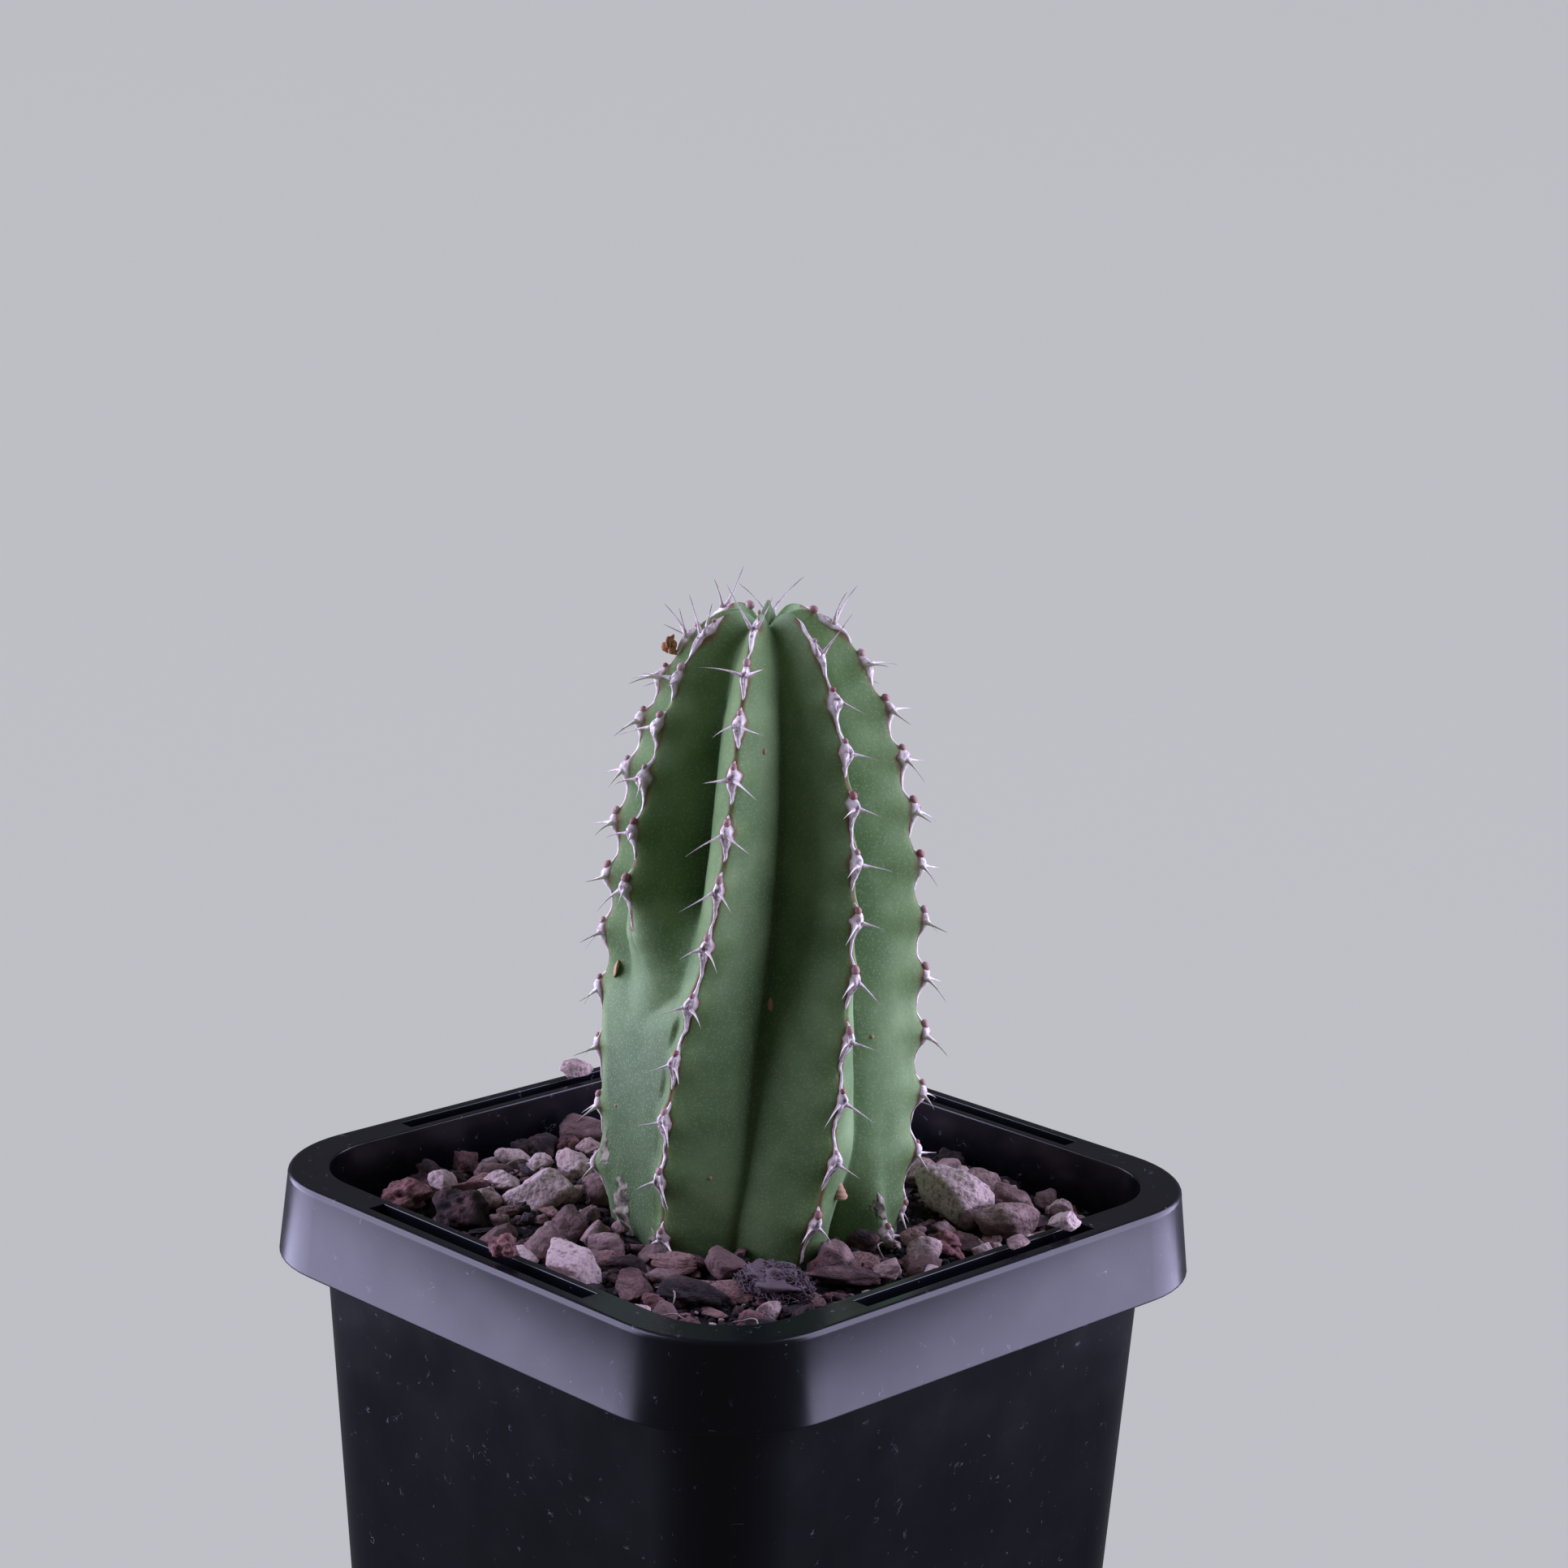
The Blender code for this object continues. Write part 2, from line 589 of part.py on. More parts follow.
def dressing_range(bearing, length, width, yaw):
    """The nearest and farthest distance from the pot's middle at which a stone stands free."""
    half = half_extent(length, width, yaw, bearing)
    breadth = 2.0 * half_extent(length, width, yaw, bearing + 90.0)
    near = stem_reach(bearing, breadth) + GAP + half
    far = wall_distance(bearing, 2.0 * GAP, POT_HEIGHT - SOIL_DEPTH - CORNER_DIP) - half
    return near, far


def dressing_spot(bearing, share, length, width, yaw):
    """Where a stone stands: a share of the free way between the stem and the pot's wall."""
    near, far = dressing_range(bearing, length, width, yaw)
    distance = near + share * (far - near)
    return distance * math.cos(math.radians(bearing)), distance * math.sin(math.radians(bearing))


def resting_z(tree, spot, scale):
    """The mix's highest point under a stone's footprint."""
    x, y, length, width, yaw = spot
    highest = 0.0
    for turn in range(0, 360, 30):
        for share in (0.0, 0.5, 1.0):
            local = Vector((length * math.cos(math.radians(turn)), width * math.sin(math.radians(turn)), 0.0))
            local = Matrix.Rotation(math.radians(yaw), 3, "Z") @ local * (share * scale / 2)
            start = Vector((x + local.x, y + local.y, POT_HEIGHT))
            hit = tree.ray_cast(start, Vector((0.0, 0.0, -1.0)))[0]
            if hit is not None:
                highest = max(highest, hit.z)
    return highest


def fit_scale(spot, spots):
    """The share of its size that a stone keeps so that it stays clear of every other one."""
    x, y, length, width, yaw = spot
    scale = 1.0
    for other in spots:
        if other is spot:
            continue
        direction = math.degrees(math.atan2(other[1] - y, other[0] - x))
        reach = half_extent(length, width, yaw, direction) + half_extent(*other[2:], direction)
        room = math.hypot(other[0] - x, other[1] - y) - GAP
        scale = min(scale, room / reach)
    return scale


def pumice():
    return material("pumice", (0.5, 0.42, 0.38), 0.9)


def red_lava():
    return material("red_lava", (0.16, 0.06, 0.05), 0.95)


def build_dressing(tree):
    bark = material("bark", (0.09, 0.045, 0.035), 0.9)
    fibre = material("root_fibre", (0.09, 0.06, 0.07), 1.0)
    beds = (("pumice", PUMICE, pumice()), ("lava", LAVA, red_lava()), ("bark", BARK, bark),
            ("root_clump", (CLUMP,), fibre))
    rows, spots = [], []
    for kind, stones, finish in beds:
        for number, (bearing, share, length, width, yaw) in enumerate(stones, 1):
            name = f"{kind}_{number}" if len(stones) > 1 else kind
            rows.append((name, *KINDS[kind], finish))
            spots.append((*dressing_spot(bearing, share, length, width, yaw), length, width, yaw))
    for seed, (row, spot) in enumerate(zip(rows, spots)):
        name, flatness, lumpiness, finish = row
        x, y, length, width, yaw = spot
        scale = fit_scale(spot, spots)
        sizes = (length * scale, width * scale, width * flatness * scale)
        place_stone(name, sizes, x, y, resting_z(tree, spot, scale) + GAP, yaw, seed, finish, lumpiness)


def build_ledge_grains():
    """Loose grains that lie across the slots, one gap above the ledge."""
    middle = POT_WIDTH / 2 - SLOT_LIP - slot_width() / 2
    for seed, (name, row) in enumerate(LEDGE_GRAINS.items(), LEDGE_SEED):
        side, along, length, width, height, yaw = row
        spot = Matrix.Rotation(math.radians(side), 3, "Z") @ Vector((middle, along, 0.0))
        finish = red_lava() if "lava" in name else pumice()
        sizes = (length, width, height)
        place_stone(name, sizes, spot.x, spot.y, POT_HEIGHT + GAP, yaw, seed, finish, GRAIN_LUMPINESS)


# ---------------------------------------------------------------- dry remnants


def build_flower():
    rib, height = RIBS[0], STEM_HEIGHT - FLOWER_DROP
    _, out, _, _ = margin_section(rib, [height - 1.0, height, height + 1.0], 1)
    spot = crest_point(rib, height) + out * (GAP + MARGIN_THICKNESS + GAP + FLOWER_WIDTH / 2)
    sizes = (FLOWER_WIDTH, FLOWER_WIDTH, FLOWER_RISE)
    finish = material("dry_flower", (0.3, 0.12, 0.04), 0.9)
    foot = spot.z - FLOWER_RISE / 2
    place_stone("dried_flower", sizes, spot.x, spot.y, foot, 0.0, FLOWER_SEED, finish, FLOWER_LUMPINESS)


def build_stalk():
    bearing = crest_bearing(RIBS[3], STALK_HEIGHT) + STALK_TURN
    radius = stem_radius(bearing, STALK_HEIGHT) + STALK_STANDOFF
    angle = math.radians(bearing)
    bm = bmesh.new()
    foot, tip = STALK_RADII
    bmesh.ops.create_cone(bm, cap_ends=True, segments=10, radius1=foot, radius2=tip, depth=STALK_LENGTH)
    stalk = add_object("dried_flower_stalk", bm, material("dry_stalk", (0.42, 0.25, 0.14), 0.85))
    x, y = STEM_X + radius * math.cos(angle), STEM_Y + radius * math.sin(angle)
    stalk.location = Vector((x, y, POT_HEIGHT - SOIL_DEPTH + STALK_HEIGHT)) * MM
    stalk.rotation_euler = (0.0, math.radians(STALK_LEAN), angle)


def main():
    clear_scene()
    build_pot()
    surface = build_potting_mix()
    build_stem()
    for number, rib in enumerate(RIBS, 1):
        build_margin(number, rib)
    build_dressing(surface)
    build_ledge_grains()
    build_flower()
    build_stalk()


main()
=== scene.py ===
"""Looks of a potted euphorbia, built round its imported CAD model.

Shapes are worked out in millimetres in the part's own frame, +Z up from the pot's underside, and are
turned to metres when a mesh is made. Bearings are degrees, counter-clockwise from +X seen from above.
"""

import logging
import math
from dataclasses import dataclass, field
from enum import Enum

import bmesh
import bpy
import numpy as np
from mathutils import Matrix, Vector


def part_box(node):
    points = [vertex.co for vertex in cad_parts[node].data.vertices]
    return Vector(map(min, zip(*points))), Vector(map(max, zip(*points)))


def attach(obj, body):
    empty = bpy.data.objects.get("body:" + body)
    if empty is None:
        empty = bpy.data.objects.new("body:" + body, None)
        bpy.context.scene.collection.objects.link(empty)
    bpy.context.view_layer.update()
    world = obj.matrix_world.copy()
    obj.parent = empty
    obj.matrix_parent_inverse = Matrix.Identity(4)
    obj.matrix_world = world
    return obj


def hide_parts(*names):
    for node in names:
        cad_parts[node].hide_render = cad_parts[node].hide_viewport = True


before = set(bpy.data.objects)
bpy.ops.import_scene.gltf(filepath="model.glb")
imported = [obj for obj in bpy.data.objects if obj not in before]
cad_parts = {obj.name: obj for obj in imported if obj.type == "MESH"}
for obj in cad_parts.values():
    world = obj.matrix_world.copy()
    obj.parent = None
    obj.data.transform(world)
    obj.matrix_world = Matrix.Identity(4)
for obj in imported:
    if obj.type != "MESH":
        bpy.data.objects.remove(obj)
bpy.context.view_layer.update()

LOG = logging.getLogger("potted_euphorbia")
Array = np.ndarray
MM = 0.001

# ---------------------------------------------------------------- numbers


def smoothstep(low: float, high: float, values: Array) -> Array:
    """0 below low, 1 above high and an S-curve between.

    Args:
        low: Where the rise starts.
        high: Where the rise ends.
        values: The values to map.

    Returns:
        Shares between 0 and 1, of the same shape as values.
    """
    share = np.clip((values - low) / (high - low), 0.0, 1.0)
    return share * share * (3.0 - 2.0 * share)


def wrapped(degrees: Array) -> Array:
    """The angles brought between -180 and 180 degrees."""
    return (degrees + 180.0) % 360.0 - 180.0


def unit(vectors: Array) -> Array:
    """The vectors scaled to length 1."""
    return vectors / np.maximum(np.linalg.norm(vectors, axis=-1, keepdims=True), 1e-9)


def heading(degrees: Array) -> Array:
    """Level unit vectors along the bearings."""
    angle = np.radians(degrees)
    return np.stack([np.cos(angle), np.sin(angle), np.zeros_like(angle)], axis=-1)


def lumps(points: Array, size: float, seed: int, octaves: int = 3) -> Array:
    """Smooth random hills: sine waves along random directions, each octave half as long and half as high.

    Args:
        points: Places, in millimetres, along the last axis.
        size: Length of the first octave's waves, in millimetres.
        seed: Picks the directions and phases.
        octaves: How many times the waves are halved and added.

    Returns:
        Heights of roughly -1 to 1.
    """
    random = np.random.default_rng(seed)
    total = np.zeros(points.shape[:-1])
    for octave in range(octaves):
        directions = unit(random.normal(size=(7, 3)))
        phases = random.uniform(0.0, math.tau, 7)
        turns = points @ directions.T * (math.tau * 2.0**octave / size) + phases
        total += np.sin(turns).sum(axis=-1) * 0.5**octave / 3.5
    return total


# ---------------------------------------------------------------- surfaces


@dataclass
class Shell:
    """Closed surfaces: points in millimetres, faces as point numbers, and marks that materials read."""

    points: Array
    faces: list[Array]
    marks: dict[str, Array] = field(default_factory=dict)

    def volume(self) -> float:
        """The signed volume: the sum, over the faces' triangles, of the corners' triple products by 6."""
        total = 0.0
        for group in self.faces:
            corners = self.points[group]
            for last in range(2, group.shape[1]):
                cross = np.cross(corners[:, last - 1], corners[:, last])
                total += float(np.einsum("ij,ij->", corners[:, 0], cross)) / 6.0
        return total

    def outward(self) -> "Shell":
        """This shell with its faces pointing outwards."""
        if self.volume() < 0.0:
            self.faces = [group[:, ::-1] for group in self.faces]
        return self


def joined(shells: list[Shell]) -> Shell:
    """Several shells as one, with their point numbers shifted.

    Args:
        shells: The shells, all with the same marks.

    Returns:
        One shell that holds them all.
    """
    starts = np.cumsum([0] + [len(shell.points) for shell in shells[:-1]])
    faces = [group + start for shell, start in zip(shells, starts) for group in shell.faces]
    marks = {name: np.concatenate([shell.marks[name] for shell in shells]) for name in shells[0].marks}
    return Shell(np.concatenate([shell.points for shell in shells]), faces, marks)


def tubes(rings: Array, marks: dict[str, Array] | None = None) -> Shell:
    """Closed tubes through rings of points: quads between the rings, and a fan to the middle of each end.

    Args:
        rings: Points, shaped (tubes, rings, points round a ring, 3).
        marks: Values shaped (tubes, rings, points round a ring).

    Returns:
        The tubes as one outward shell.
    """
    count, rows, around, _ = rings.shape
    own = rows * around
    i = np.arange(around)
    row = np.arange(rows - 1)[:, None] * around
    following = (i + 1) % around
    quads = np.stack([row + i, row + following, row + around + following, row + around + i], axis=-1)
    foot = np.stack([following, i, np.full(around, own)], axis=-1)
    top = np.stack([own - around + i, own - around + following, np.full(around, own + 1)], axis=-1)
    shift = np.arange(count)[:, None, None] * (own + 2)
    ends = np.stack([rings[:, 0].mean(axis=1), rings[:, -1].mean(axis=1)], axis=1)
    points = np.concatenate([rings.reshape(count, own, 3), ends], axis=1).reshape(-1, 3)
    faces = [(quads.reshape(-1, 4) + shift).reshape(-1, 4)]
    faces += [(group + shift).reshape(-1, 3) for group in (foot, top)]
    values = {}
    for name, mark in (marks or {}).items():
        mark_ends = np.stack([mark[:, 0].mean(axis=1), mark[:, -1].mean(axis=1)], axis=1)
        values[name] = np.concatenate([mark.reshape(count, own), mark_ends], axis=1).ravel()
    return Shell(points, faces, values).outward()


def curved_tubes(paths: Array, radii: Array, sides: int, marks: dict[str, Array] | None = None) -> Shell:
    """Round tubes along paths: at each path point, a circle across the path's direction.

    Args:
        paths: Points, shaped (tubes, points, 3).
        radii: Radii, shaped (tubes, points).
        sides: Points round each circle.
        marks: Values shaped (tubes, points).

    Returns:
        The tubes as one shell.
    """
    along = unit(np.gradient(paths, axis=1))
    helper = np.where(np.abs(along[..., 2:]) > 0.9, [1.0, 0.0, 0.0], [0.0, 0.0, 1.0])
    across = unit(np.cross(along, helper))
    other = np.cross(along, across)
    turn = np.linspace(0.0, math.tau, sides, endpoint=False)
    circle = np.cos(turn)[:, None] * across[:, :, None] + np.sin(turn)[:, None] * other[:, :, None]
    rings = paths[:, :, None] + circle * radii[:, :, None, None]
    spread = {name: np.repeat(mark[:, :, None], sides, axis=2) for name, mark in (marks or {}).items()}
    return tubes(rings, spread)


def globe(rows: int, around: int) -> Array:
    """Directions all round on rows of latitude and columns of longitude, shaped (rows, around, 3)."""
    latitude = np.linspace(-0.5, 0.5, rows + 2)[1:-1, None] * math.pi
    longitude = np.linspace(0.0, math.tau, around, endpoint=False)[None, :]
    level = np.cos(latitude)
    parts = (level * np.cos(longitude), level * np.sin(longitude), np.sin(latitude) + 0.0 * longitude)
    return np.stack(parts, axis=-1)


def rounded_square(half: float, radius: float, z: float, steps: int, support: float) -> Array:
    """Points round a square with quarter-circle corners and one more point at each end of its sides.

    Args:
        half: Half of the square's width.
        radius: The corners' radius.
        z: The ring's height.
        steps: Arc steps in each corner.
        support: How far from a corner's arc the side's own points lie.

    Returns:
        The ring, counter-clockwise, shaped (4 * (steps + 3), 3).
    """
    angles = np.linspace(0.0, math.pi / 2, steps + 1)
    x = half - radius + radius * np.concatenate([[1.0], np.cos(angles), [0.0]])
    y = half - radius + radius * np.concatenate([[0.0], np.sin(angles), [1.0]])
    y[0] -= support
    x[-1] -= support
    ring = []
    for quarter in range(4):
        cos, sin = math.cos(quarter * math.pi / 2), math.sin(quarter * math.pi / 2)
        ring.append(np.stack([x * cos - y * sin, x * sin + y * cos], axis=-1))
    flat = np.concatenate(ring)
    return np.concatenate([flat, np.full((len(flat), 1), z)], axis=1)


# ---------------------------------------------------------------- pieces and materials


def mesh_of(name: str, shell: Shell) -> bpy.types.Mesh:
    """A smooth-shaded mesh of a shell, in metres, with its marks as point attributes."""
    mesh = bpy.data.meshes.new(name)
    faces = [row for group in shell.faces for row in group.tolist()]
    mesh.from_pydata((shell.points * MM).tolist(), [], faces)
    for mark, values in shell.marks.items():
        layer = mesh.attributes.new(mark, "FLOAT", "POINT")
        layer.data.foreach_set("value", np.ascontiguousarray(values, np.float32))
    mesh.shade_smooth()
    return mesh


def piece(name: str, shell: Shell, finish: "Finish", nodes: tuple[str, ...] = (),
          sharp: float | None = None) -> bpy.types.Object:
    """Makes a shell into an object that rides with the part.

    Args:
        name: The object's name.
        shell: Its surface.
        finish: Its material.
        nodes: The CAD nodes that it stands for.
        sharp: Edges sharper than this many degrees stay sharp; None leaves every edge smooth.

    Returns:
        The object.
    """
    mesh = mesh_of(name, shell)
    if sharp is not None:
        mesh.set_sharp_from_angle(angle=math.radians(sharp))
    mesh.materials.append(finish.material())
    obj = bpy.data.objects.new(name, mesh)
    bpy.context.scene.collection.objects.link(obj)
    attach(obj, "root")
    if nodes:
        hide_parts(*nodes)
    LOG.info("%s: %d faces, for %s", name, len(mesh.polygons), ", ".join(nodes) or "no CAD node")
    return obj


def linear(colour: str) -> tuple[float, float, float, float]:
    """An sRGB hex colour, such as #8899aa, as linear red, green, blue and alpha."""
    channels = [int(colour[i : i + 2], 16) / 255.0 for i in (1, 3, 5)]
    red, green, blue = (c / 12.92 if c <= 0.04045 else ((c + 0.055) / 1.055) ** 2.4 for c in channels)
    return (red, green, blue, 1.0)


LEVELS = ("From Min", "From Max", "To Min", "To Max")  # the sockets of a map range's levels


def fill(tree: bpy.types.NodeTree, node: bpy.types.Node, inputs: dict[str | int, object]) -> None:
    """Sets or links a node's inputs.

    Args:
        tree: The material's node tree.
        node: The node.
        inputs: Socket name or number to a value, a hex colour, another node's output, or another node, which
            stands for its first output in use.
    """
    for name, value in inputs.items():
        in_use = [socket for socket in node.inputs if socket.enabled and socket.name == name]
        socket = node.inputs[name] if isinstance(name, int) else in_use[0]
        if isinstance(value, bpy.types.Node):
            value = next(output for output in value.outputs if output.enabled)
        if isinstance(value, bpy.types.NodeSocket):
            tree.links.new(value, socket)
        else:
            socket.default_value = linear(value) if isinstance(value, str) else value


def add_node(tree: bpy.types.NodeTree, kind: str, inputs: dict[str | int, object] | None = None,
             **settings: object) -> bpy.types.Node:
    """Adds a node.

    Args:
        tree: The material's node tree.
        kind: The node's type name, less its first word.
        inputs: What fill sets or links.
        settings: The node's own properties; stops are a colour ramp's (position, hex colour) pairs and
            levels a map range's bounds, from and to.

    Returns:
        The node.
    """
    node = tree.nodes.new("ShaderNode" + kind)
    stops, levels = settings.pop("stops", ()), settings.pop("levels", ())
    for name, value in settings.items():
        setattr(node, name, value)
    for place, (position, colour) in enumerate(stops):
        ramp = node.color_ramp.elements
        element = ramp[place] if place < 2 else ramp.new(position)
        element.position = position
        element.color = linear(colour)
    fill(tree, node, {**(inputs or {}), **dict(zip(LEVELS, levels))})
    return node


def per_mm(size: float) -> float:
    """The texture scale whose features are this many millimetres across, on coordinates in metres."""
    return 1.0 / (size * MM)


@dataclass(frozen=True)
class Finish:
    """A material that is made once and shared."""

    name: str

    def material(self) -> bpy.types.Material:
        """The material, made the first time it is asked for."""
        made = bpy.data.materials.get(self.name)
        if made is None:
            made = bpy.data.materials.new(self.name)
            made.use_nodes = True
            tree = made.node_tree
            self.dress(tree, tree.nodes["Principled BSDF"])
        return made

    def dress(self, tree: bpy.types.NodeTree, shader: bpy.types.Node) -> None:
        """Adds this finish's nodes.

        Args:
            tree: The material's node tree.
            shader: Its Principled BSDF.
        """
        raise NotImplementedError

    def place(self, tree: bpy.types.NodeTree) -> bpy.types.NodeSocket:
        """Object coordinates, in metres."""
        return add_node(tree, "TexCoord").outputs["Object"]

    def mark(self, tree: bpy.types.NodeTree, name: str) -> bpy.types.NodeSocket:
        """A piece's own mark, as a number."""
        return add_node(tree, "Attribute", attribute_name=name).outputs["Fac"]


@dataclass(frozen=True)
class MouldedPolypropylene(Finish):
    """Black polypropylene, injection moulded thin: a satin skin with hairline scuffs and dust."""

    plastic: str = "#090a10"
    scuff: str = "#6b6a78"
    dust: str = "#8d8894"
    roughness: float = 0.2

    def dress(self, tree: bpy.types.NodeTree, shader: bpy.types.Node) -> None:
        """Adds cloudy roughness, dust specks, hairline scuffs and a faint moulding ripple."""
        place = self.place(tree)
        cloud = add_node(tree, "TexNoise", {"Vector": place, "Scale": per_mm(9.0), "Detail": 4.0})
        rough = add_node(tree, "MapRange", {"Value": cloud},
                         levels=(0.3, 0.75, self.roughness, self.roughness + 0.1))
        speck = add_node(tree, "TexVoronoi", {"Vector": place, "Scale": per_mm(1.5), "Randomness": 1.0})
        near = add_node(tree, "MapRange", {"Value": speck}, levels=(0.025, 0.075, 0.8, 0.0))
        picked = add_node(tree, "SeparateColor", {0: speck.outputs["Color"]})
        few = add_node(tree, "Math", {0: picked, 1: 0.88}, operation="GREATER_THAN")
        dusty = add_node(tree, "Math", {0: near, 1: few}, operation="MULTIPLY")
        bend = add_node(tree, "TexNoise",
                        {"Vector": place, "Scale": per_mm(1.8), "Detail": 2.0, "Distortion": 1.5})
        line = add_node(tree, "Math", {0: bend, 1: 0.5}, operation="SUBTRACT")
        thin = add_node(tree, "Math", {0: line}, operation="ABSOLUTE")
        hair = add_node(tree, "MapRange", {"Value": thin}, levels=(0.004, 0.016, 1.0, 0.0))
        patch = add_node(tree, "TexNoise", {"Vector": place, "Scale": per_mm(1.3), "Detail": 1.0})
        where = add_node(tree, "MapRange", {"Value": patch}, levels=(0.66, 0.72, 0.0, 0.7))
        scuffs = add_node(tree, "Math", {0: hair, 1: where}, operation="MULTIPLY")
        scuffed = add_node(tree, "Mix", {"Factor": scuffs, "A": self.plastic, "B": self.scuff},
                           data_type="RGBA")
        colour = add_node(tree, "Mix", {"Factor": dusty, "A": scuffed, "B": self.dust}, data_type="RGBA")
        ripple = add_node(tree, "TexNoise", {"Vector": place, "Scale": per_mm(14.0), "Detail": 2.0})
        bump = add_node(tree, "Bump", {"Height": ripple, "Strength": 0.2, "Distance": 0.2 * MM})
        fill(tree, shader, {"Base Color": colour, "Roughness": rough, "Normal": bump, "IOR": 1.49,
                            "Specular IOR Level": 0.42})


@dataclass(frozen=True)
class WaxySkin(Finish):
    """A succulent's living skin under a thin wax bloom: matt-satin grey-green, darker in its grooves from
    thinner bloom and painted shade.
    """

    bloom: str = "#607f4b"
    pale: str = "#88a46e"
    # the grooves' darker green, partly thinner bloom and partly painted shade; the low mark's painted shade
    # uses it too
    groove: str = "#33501f"
    fresh: str = "#5e7a36"
    outline: str = "#6d4a2c"
    cork: str = "#9c9683"
    crevice: str = "#3f3a2c"
    speck: str = "#a3b592"

    def dress(self, tree: bpy.types.NodeTree, shader: bpy.types.Node) -> None:
        """Adds bloom patches, darker grooves, painted shade low down, fine specks, the margins' brown outline
        and cork.
        """
        place = self.place(tree)
        groove = self.mark(tree, "groove")
        edge = self.mark(tree, "margin_mm")
        cork_mark = self.mark(tree, "cork")
        cloud = add_node(tree, "TexNoise", {"Vector": place, "Scale": per_mm(7.0), "Detail": 5.0})
        tone = add_node(tree, "MapRange", {"Value": cloud}, levels=(0.35, 0.7))
        skin = add_node(tree, "Mix", {"Factor": tone, "A": self.bloom, "B": self.pale}, data_type="RGBA")
        # Grooves darken towards the groove green, partly from thinner bloom and partly as painted shade.
        deep = add_node(tree, "MapRange", {"Value": groove}, levels=(0.35, 1.0, 0.0, 0.85))
        # The low mark darkens the skin towards the groove green: painted shade toward the foot and over the
        # broad face.
        deeper = add_node(tree, "Math", {0: deep, 1: self.mark(tree, "low")}, operation="MAXIMUM")
        shaded = add_node(tree, "Mix", {"Factor": deeper, "A": skin, "B": self.groove}, data_type="RGBA")
        young = add_node(tree, "MapRange", {"Value": edge}, levels=(0.1, 1.8, 0.45, 0.0))
        fresh = add_node(tree, "Mix", {"Factor": young, "A": shaded, "B": self.fresh}, data_type="RGBA")
        grain = add_node(tree, "TexVoronoi", {"Vector": place, "Scale": per_mm(0.3)})
        dots = add_node(tree, "MapRange", {"Value": grain}, levels=(0.12, 0.4, 0.34, 0.0))
        dotted = add_node(tree, "Mix", {"Factor": dots, "A": fresh, "B": self.speck}, data_type="RGBA")
        line = add_node(tree, "MapRange", {"Value": edge}, levels=(0.0, 0.28, 0.95, 0.0))
        patchy = add_node(tree, "TexNoise", {"Vector": place, "Scale": per_mm(1.6), "Detail": 2.0})
        some = add_node(tree, "MapRange", {"Value": patchy}, levels=(0.36, 0.52))
        brown = add_node(tree, "Math", {0: line, 1: some}, operation="MULTIPLY")
        lined = add_node(tree, "Mix", {"Factor": brown, "A": dotted, "B": self.outline}, data_type="RGBA")
        crust = add_node(tree, "TexNoise", {"Vector": place, "Scale": per_mm(1.1), "Detail": 5.0})
        corky = add_node(tree, "Math", {0: crust, 1: cork_mark}, operation="ADD")
        cork = add_node(tree, "MapRange", {"Value": corky}, levels=(0.98, 1.1))
        crack = add_node(tree, "MapRange", {"Value": crust}, levels=(0.4, 0.6))
        bark = add_node(tree, "Mix", {"Factor": crack, "A": self.crevice, "B": self.cork},
                        data_type="RGBA")
        colour = add_node(tree, "Mix", {"Factor": cork, "A": lined, "B": bark}, data_type="RGBA")
        rough = add_node(tree, "MapRange", {"Value": cork}, levels=(0.0, 1.0, 0.62, 0.9))
        fine = add_node(tree, "TexNoise", {"Vector": place, "Scale": per_mm(0.5), "Detail": 3.0})
        bump = add_node(tree, "Bump", {"Height": fine, "Strength": 0.35, "Distance": 0.08 * MM})
        crusty = add_node(tree, "Bump",
                          {"Height": cork, "Strength": 0.6, "Distance": 0.25 * MM, "Normal": bump})
        fill(tree, shader, {"Base Color": colour, "Roughness": rough, "Normal": crusty, "IOR": 1.36,
                            "Sheen Weight": 0.12, "Sheen Roughness": 0.45})


@dataclass(frozen=True)
class Horn(Finish):
    """Dry horn, grown in lengthwise fibres: whitish lilac, browner at its edges and the spines' tips."""

    pale: str = "#f4ebe4"
    pink: str = "#b9979a"
    heart: str = "#5d3c48"
    edge: str = "#6f4a3e"
    tip: str = "#6a4a4a"
    bud: str = "#8b4440"

    def dress(self, tree: bpy.types.NodeTree, shader: bpy.types.Node) -> None:
        """Adds pink clouds, brown edges, dark tips and red buds from the marks, and a fibrous bump."""
        place = self.place(tree)
        cloud = add_node(tree, "TexNoise", {"Vector": place, "Scale": per_mm(0.9), "Detail": 4.0})
        tone = add_node(tree, "MapRange", {"Value": cloud}, levels=(0.4, 0.72, 0.0, 0.75))
        colour = add_node(tree, "Mix", {"Factor": tone, "A": self.pale, "B": self.pink}, data_type="RGBA")
        strand = add_node(tree, "TexNoise", {"Vector": place, "Scale": per_mm(0.45), "Detail": 3.0})
        between = add_node(tree, "MapRange", {"Value": strand}, levels=(0.42, 0.6))
        inner = add_node(tree, "Math", {0: self.mark(tree, "heart"), 1: between}, operation="MULTIPLY")
        colour = add_node(tree, "Mix", {"Factor": inner, "A": colour, "B": self.heart}, data_type="RGBA")
        for mark, shade in (("edge", self.edge), ("tip", self.tip), ("bud", self.bud)):
            colour = add_node(tree, "Mix", {"Factor": self.mark(tree, mark), "A": colour, "B": shade},
                              data_type="RGBA")
        fibre = add_node(tree, "TexNoise", {"Vector": place, "Scale": per_mm(0.35), "Detail": 3.0})
        bump = add_node(tree, "Bump", {"Height": fibre, "Strength": 0.7, "Distance": 0.14 * MM})
        fill(tree, shader, {"Base Color": colour, "Normal": bump, "Roughness": 0.5, "IOR": 1.54})


